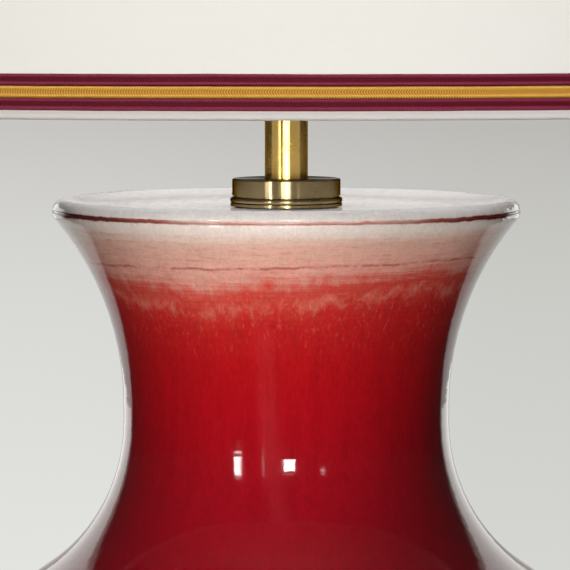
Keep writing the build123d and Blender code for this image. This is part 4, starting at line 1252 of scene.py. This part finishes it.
@dataclass
class Studio:
    """Pale floor, pale distance, soft lamps and the photograph's camera."""

    camera_back: float = 900 * MM
    camera_above_lip: float = 48.6 * MM
    camera_pitch: float = -4.763
    camera_aside: float = -0.4 * MM
    lens: float = 188.2
    near: Colour = linear(220, 221, 217)
    middle: Colour = linear(210, 210, 206)
    far: Colour = linear(194, 192, 188)
    bright_half_width: float = 40.0
    floor_half: float = 60.0
    floor_glow: float = 0.7
    air: float = 0.02

    def behind(self, graph: Graph, x: Value, y: Value) -> Socket:
        """Says how far a direction points to the pale part of the studio, behind the lamp."""
        edge = math.radians(self.bright_half_width)
        return graph.fades(graph.math("ARCTAN2", graph.math("ABSOLUTE", x), y), edge, edge + 0.05)

    def across(self, graph: Graph, x: Value, reach: Value, colour: Value) -> Socket:
        """Makes the pale distance a little lighter to the left and darker to the right.

        Args:
            graph: The floor's or the world's tree.
            x: How far the place or direction lies to the right.
            reach: How far it lies from the middle.
            colour: The colour in the middle.

        Returns:
            The colour.
        """
        aside = graph.over(x, graph.math("MAXIMUM", reach, 0.01))
        tone = graph.between(aside, -0.11, 0.11, 1.07, 0.93)
        return graph.vector("MULTIPLY", colour, graph.join(tone, tone, graph.math("POWER", tone, 1.1)))

    def floor(self) -> None:
        """Lays the floor, whose far part keeps the backdrop's tone."""
        s = Surface("studio_floor")
        x, y, _ = s.axes(s.place)
        distance = s.math("SQRT", s.plus(s.times(x, x), s.times(y, y)))
        reach = s.over(s.math("LOGARITHM", s.math("MAXIMUM", distance, 1.0), 10.0), 1.3)
        tone = s.ramp(reach, ((0.0, self.near), (0.12, self.near), (0.45, self.middle), (0.85, self.far)))
        tone = self.across(s, x, distance, tone)
        path = s.add("ShaderNodeLightPath").outputs
        bounced = s.mix(path["Is Diffuse Ray"], linear(226, 225, 221), linear(120, 119, 117))
        s.set(Base_Color=bounced, Roughness=0.7, Specular_IOR_Level=0.2)
        dim = s.times(path["Is Glossy Ray"], s.minus(1.0, self.behind(s, x, y)))
        glow = s.get("ShaderNodeEmission", {0: s.mix(dim, tone, linear(46, 44, 43)), 1: 1.0})
        seen = s.math("MAXIMUM", path["Is Camera Ray"], path["Is Glossy Ray"])
        seen = s.math("MAXIMUM", seen, path["Is Transmission Ray"])
        share = s.times(seen, s.between(distance, 0.45, 1.35, self.floor_glow, 1.0))
        share = s.math("MAXIMUM", share, s.times(dim, s.between(distance, 0.25, 0.6)))
        s.tree.links.new(s.blend(share, s.shader.outputs[0], glow), s.output.inputs[0])
        half = self.floor_half
        corners = np.array([(-half, -half, 0), (half, -half, 0), (half, half, 0), (-half, half, 0)], float)
        floor = mesh_piece("studio_floor", corners, np.array([[0, 1, 2, 3]]), s.material)

    def sky(self) -> None:
        """Sets the world: pale to the camera and behind the lamp, soft on matt surfaces."""
        world = bpy.data.worlds.new("studio_air")
        bpy.context.scene.world = world
        world.use_nodes = True
        g = Graph(world.node_tree)
        g.tree.nodes.clear()
        path = g.add("ShaderNodeLightPath").outputs
        x, y, z = g.axes(g.add("ShaderNodeTexCoord").outputs["Generated"])
        pale = g.times(self.behind(g, x, y), g.fades(z, 0.45, 0.7))
        lights = ((self.across(g, x, 1.0, self.far), 1.0), (linear(236, 238, 242), self.air),
                  (linear(60, 58, 57), 1.0))
        seen, soft, dim = (g.get("ShaderNodeBackground", {0: colour, 1: power}) for colour, power in lights)
        lit = g.blend(path["Is Glossy Ray"], soft, g.blend(pale, dim, seen))
        direct = g.math("MAXIMUM", path["Is Camera Ray"], path["Is Transmission Ray"])
        g.add("ShaderNodeOutputWorld", {0: g.blend(direct, lit, seen)})

    def camera(self) -> None:
        """Stands the camera where the photograph was taken."""
        data = bpy.data.cameras.new("camera")
        data.sensor_width, data.lens = 36.0, self.lens
        data.clip_start, data.clip_end = 0.05, 200.0
        camera = linked("camera", data)
        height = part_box("jar")[1].z + self.camera_above_lip
        camera.location = (self.camera_aside, -self.camera_back, height)
        camera.rotation_euler = Euler((math.radians(90 + self.camera_pitch), 0, 0))
        bpy.context.scene.camera = camera

    def build(self) -> None:
        """Sets the studio up."""
        self.floor()
        self.sky()
        for boxes, gleam in ((MATT_BOXES, False), (GLEAM_BOXES, True)):
            for box in boxes:
                box.build(gleam)
        self.camera()
        bpy.context.scene.view_settings.view_transform = "Standard"


def main() -> None:
    """Builds every sub-assembly in order and logs each as it is finished."""
    logging.basicConfig(level=logging.INFO, format="%(message)s")
    for assembly in (WoodBase(), JarAndNeck(), HarpSet(), SocketAndBulb(), ConeShade(), Studio()):
        assembly.build()
        log.info("finished %s", type(assembly).__name__)


if __name__ == "__main__":
    main()
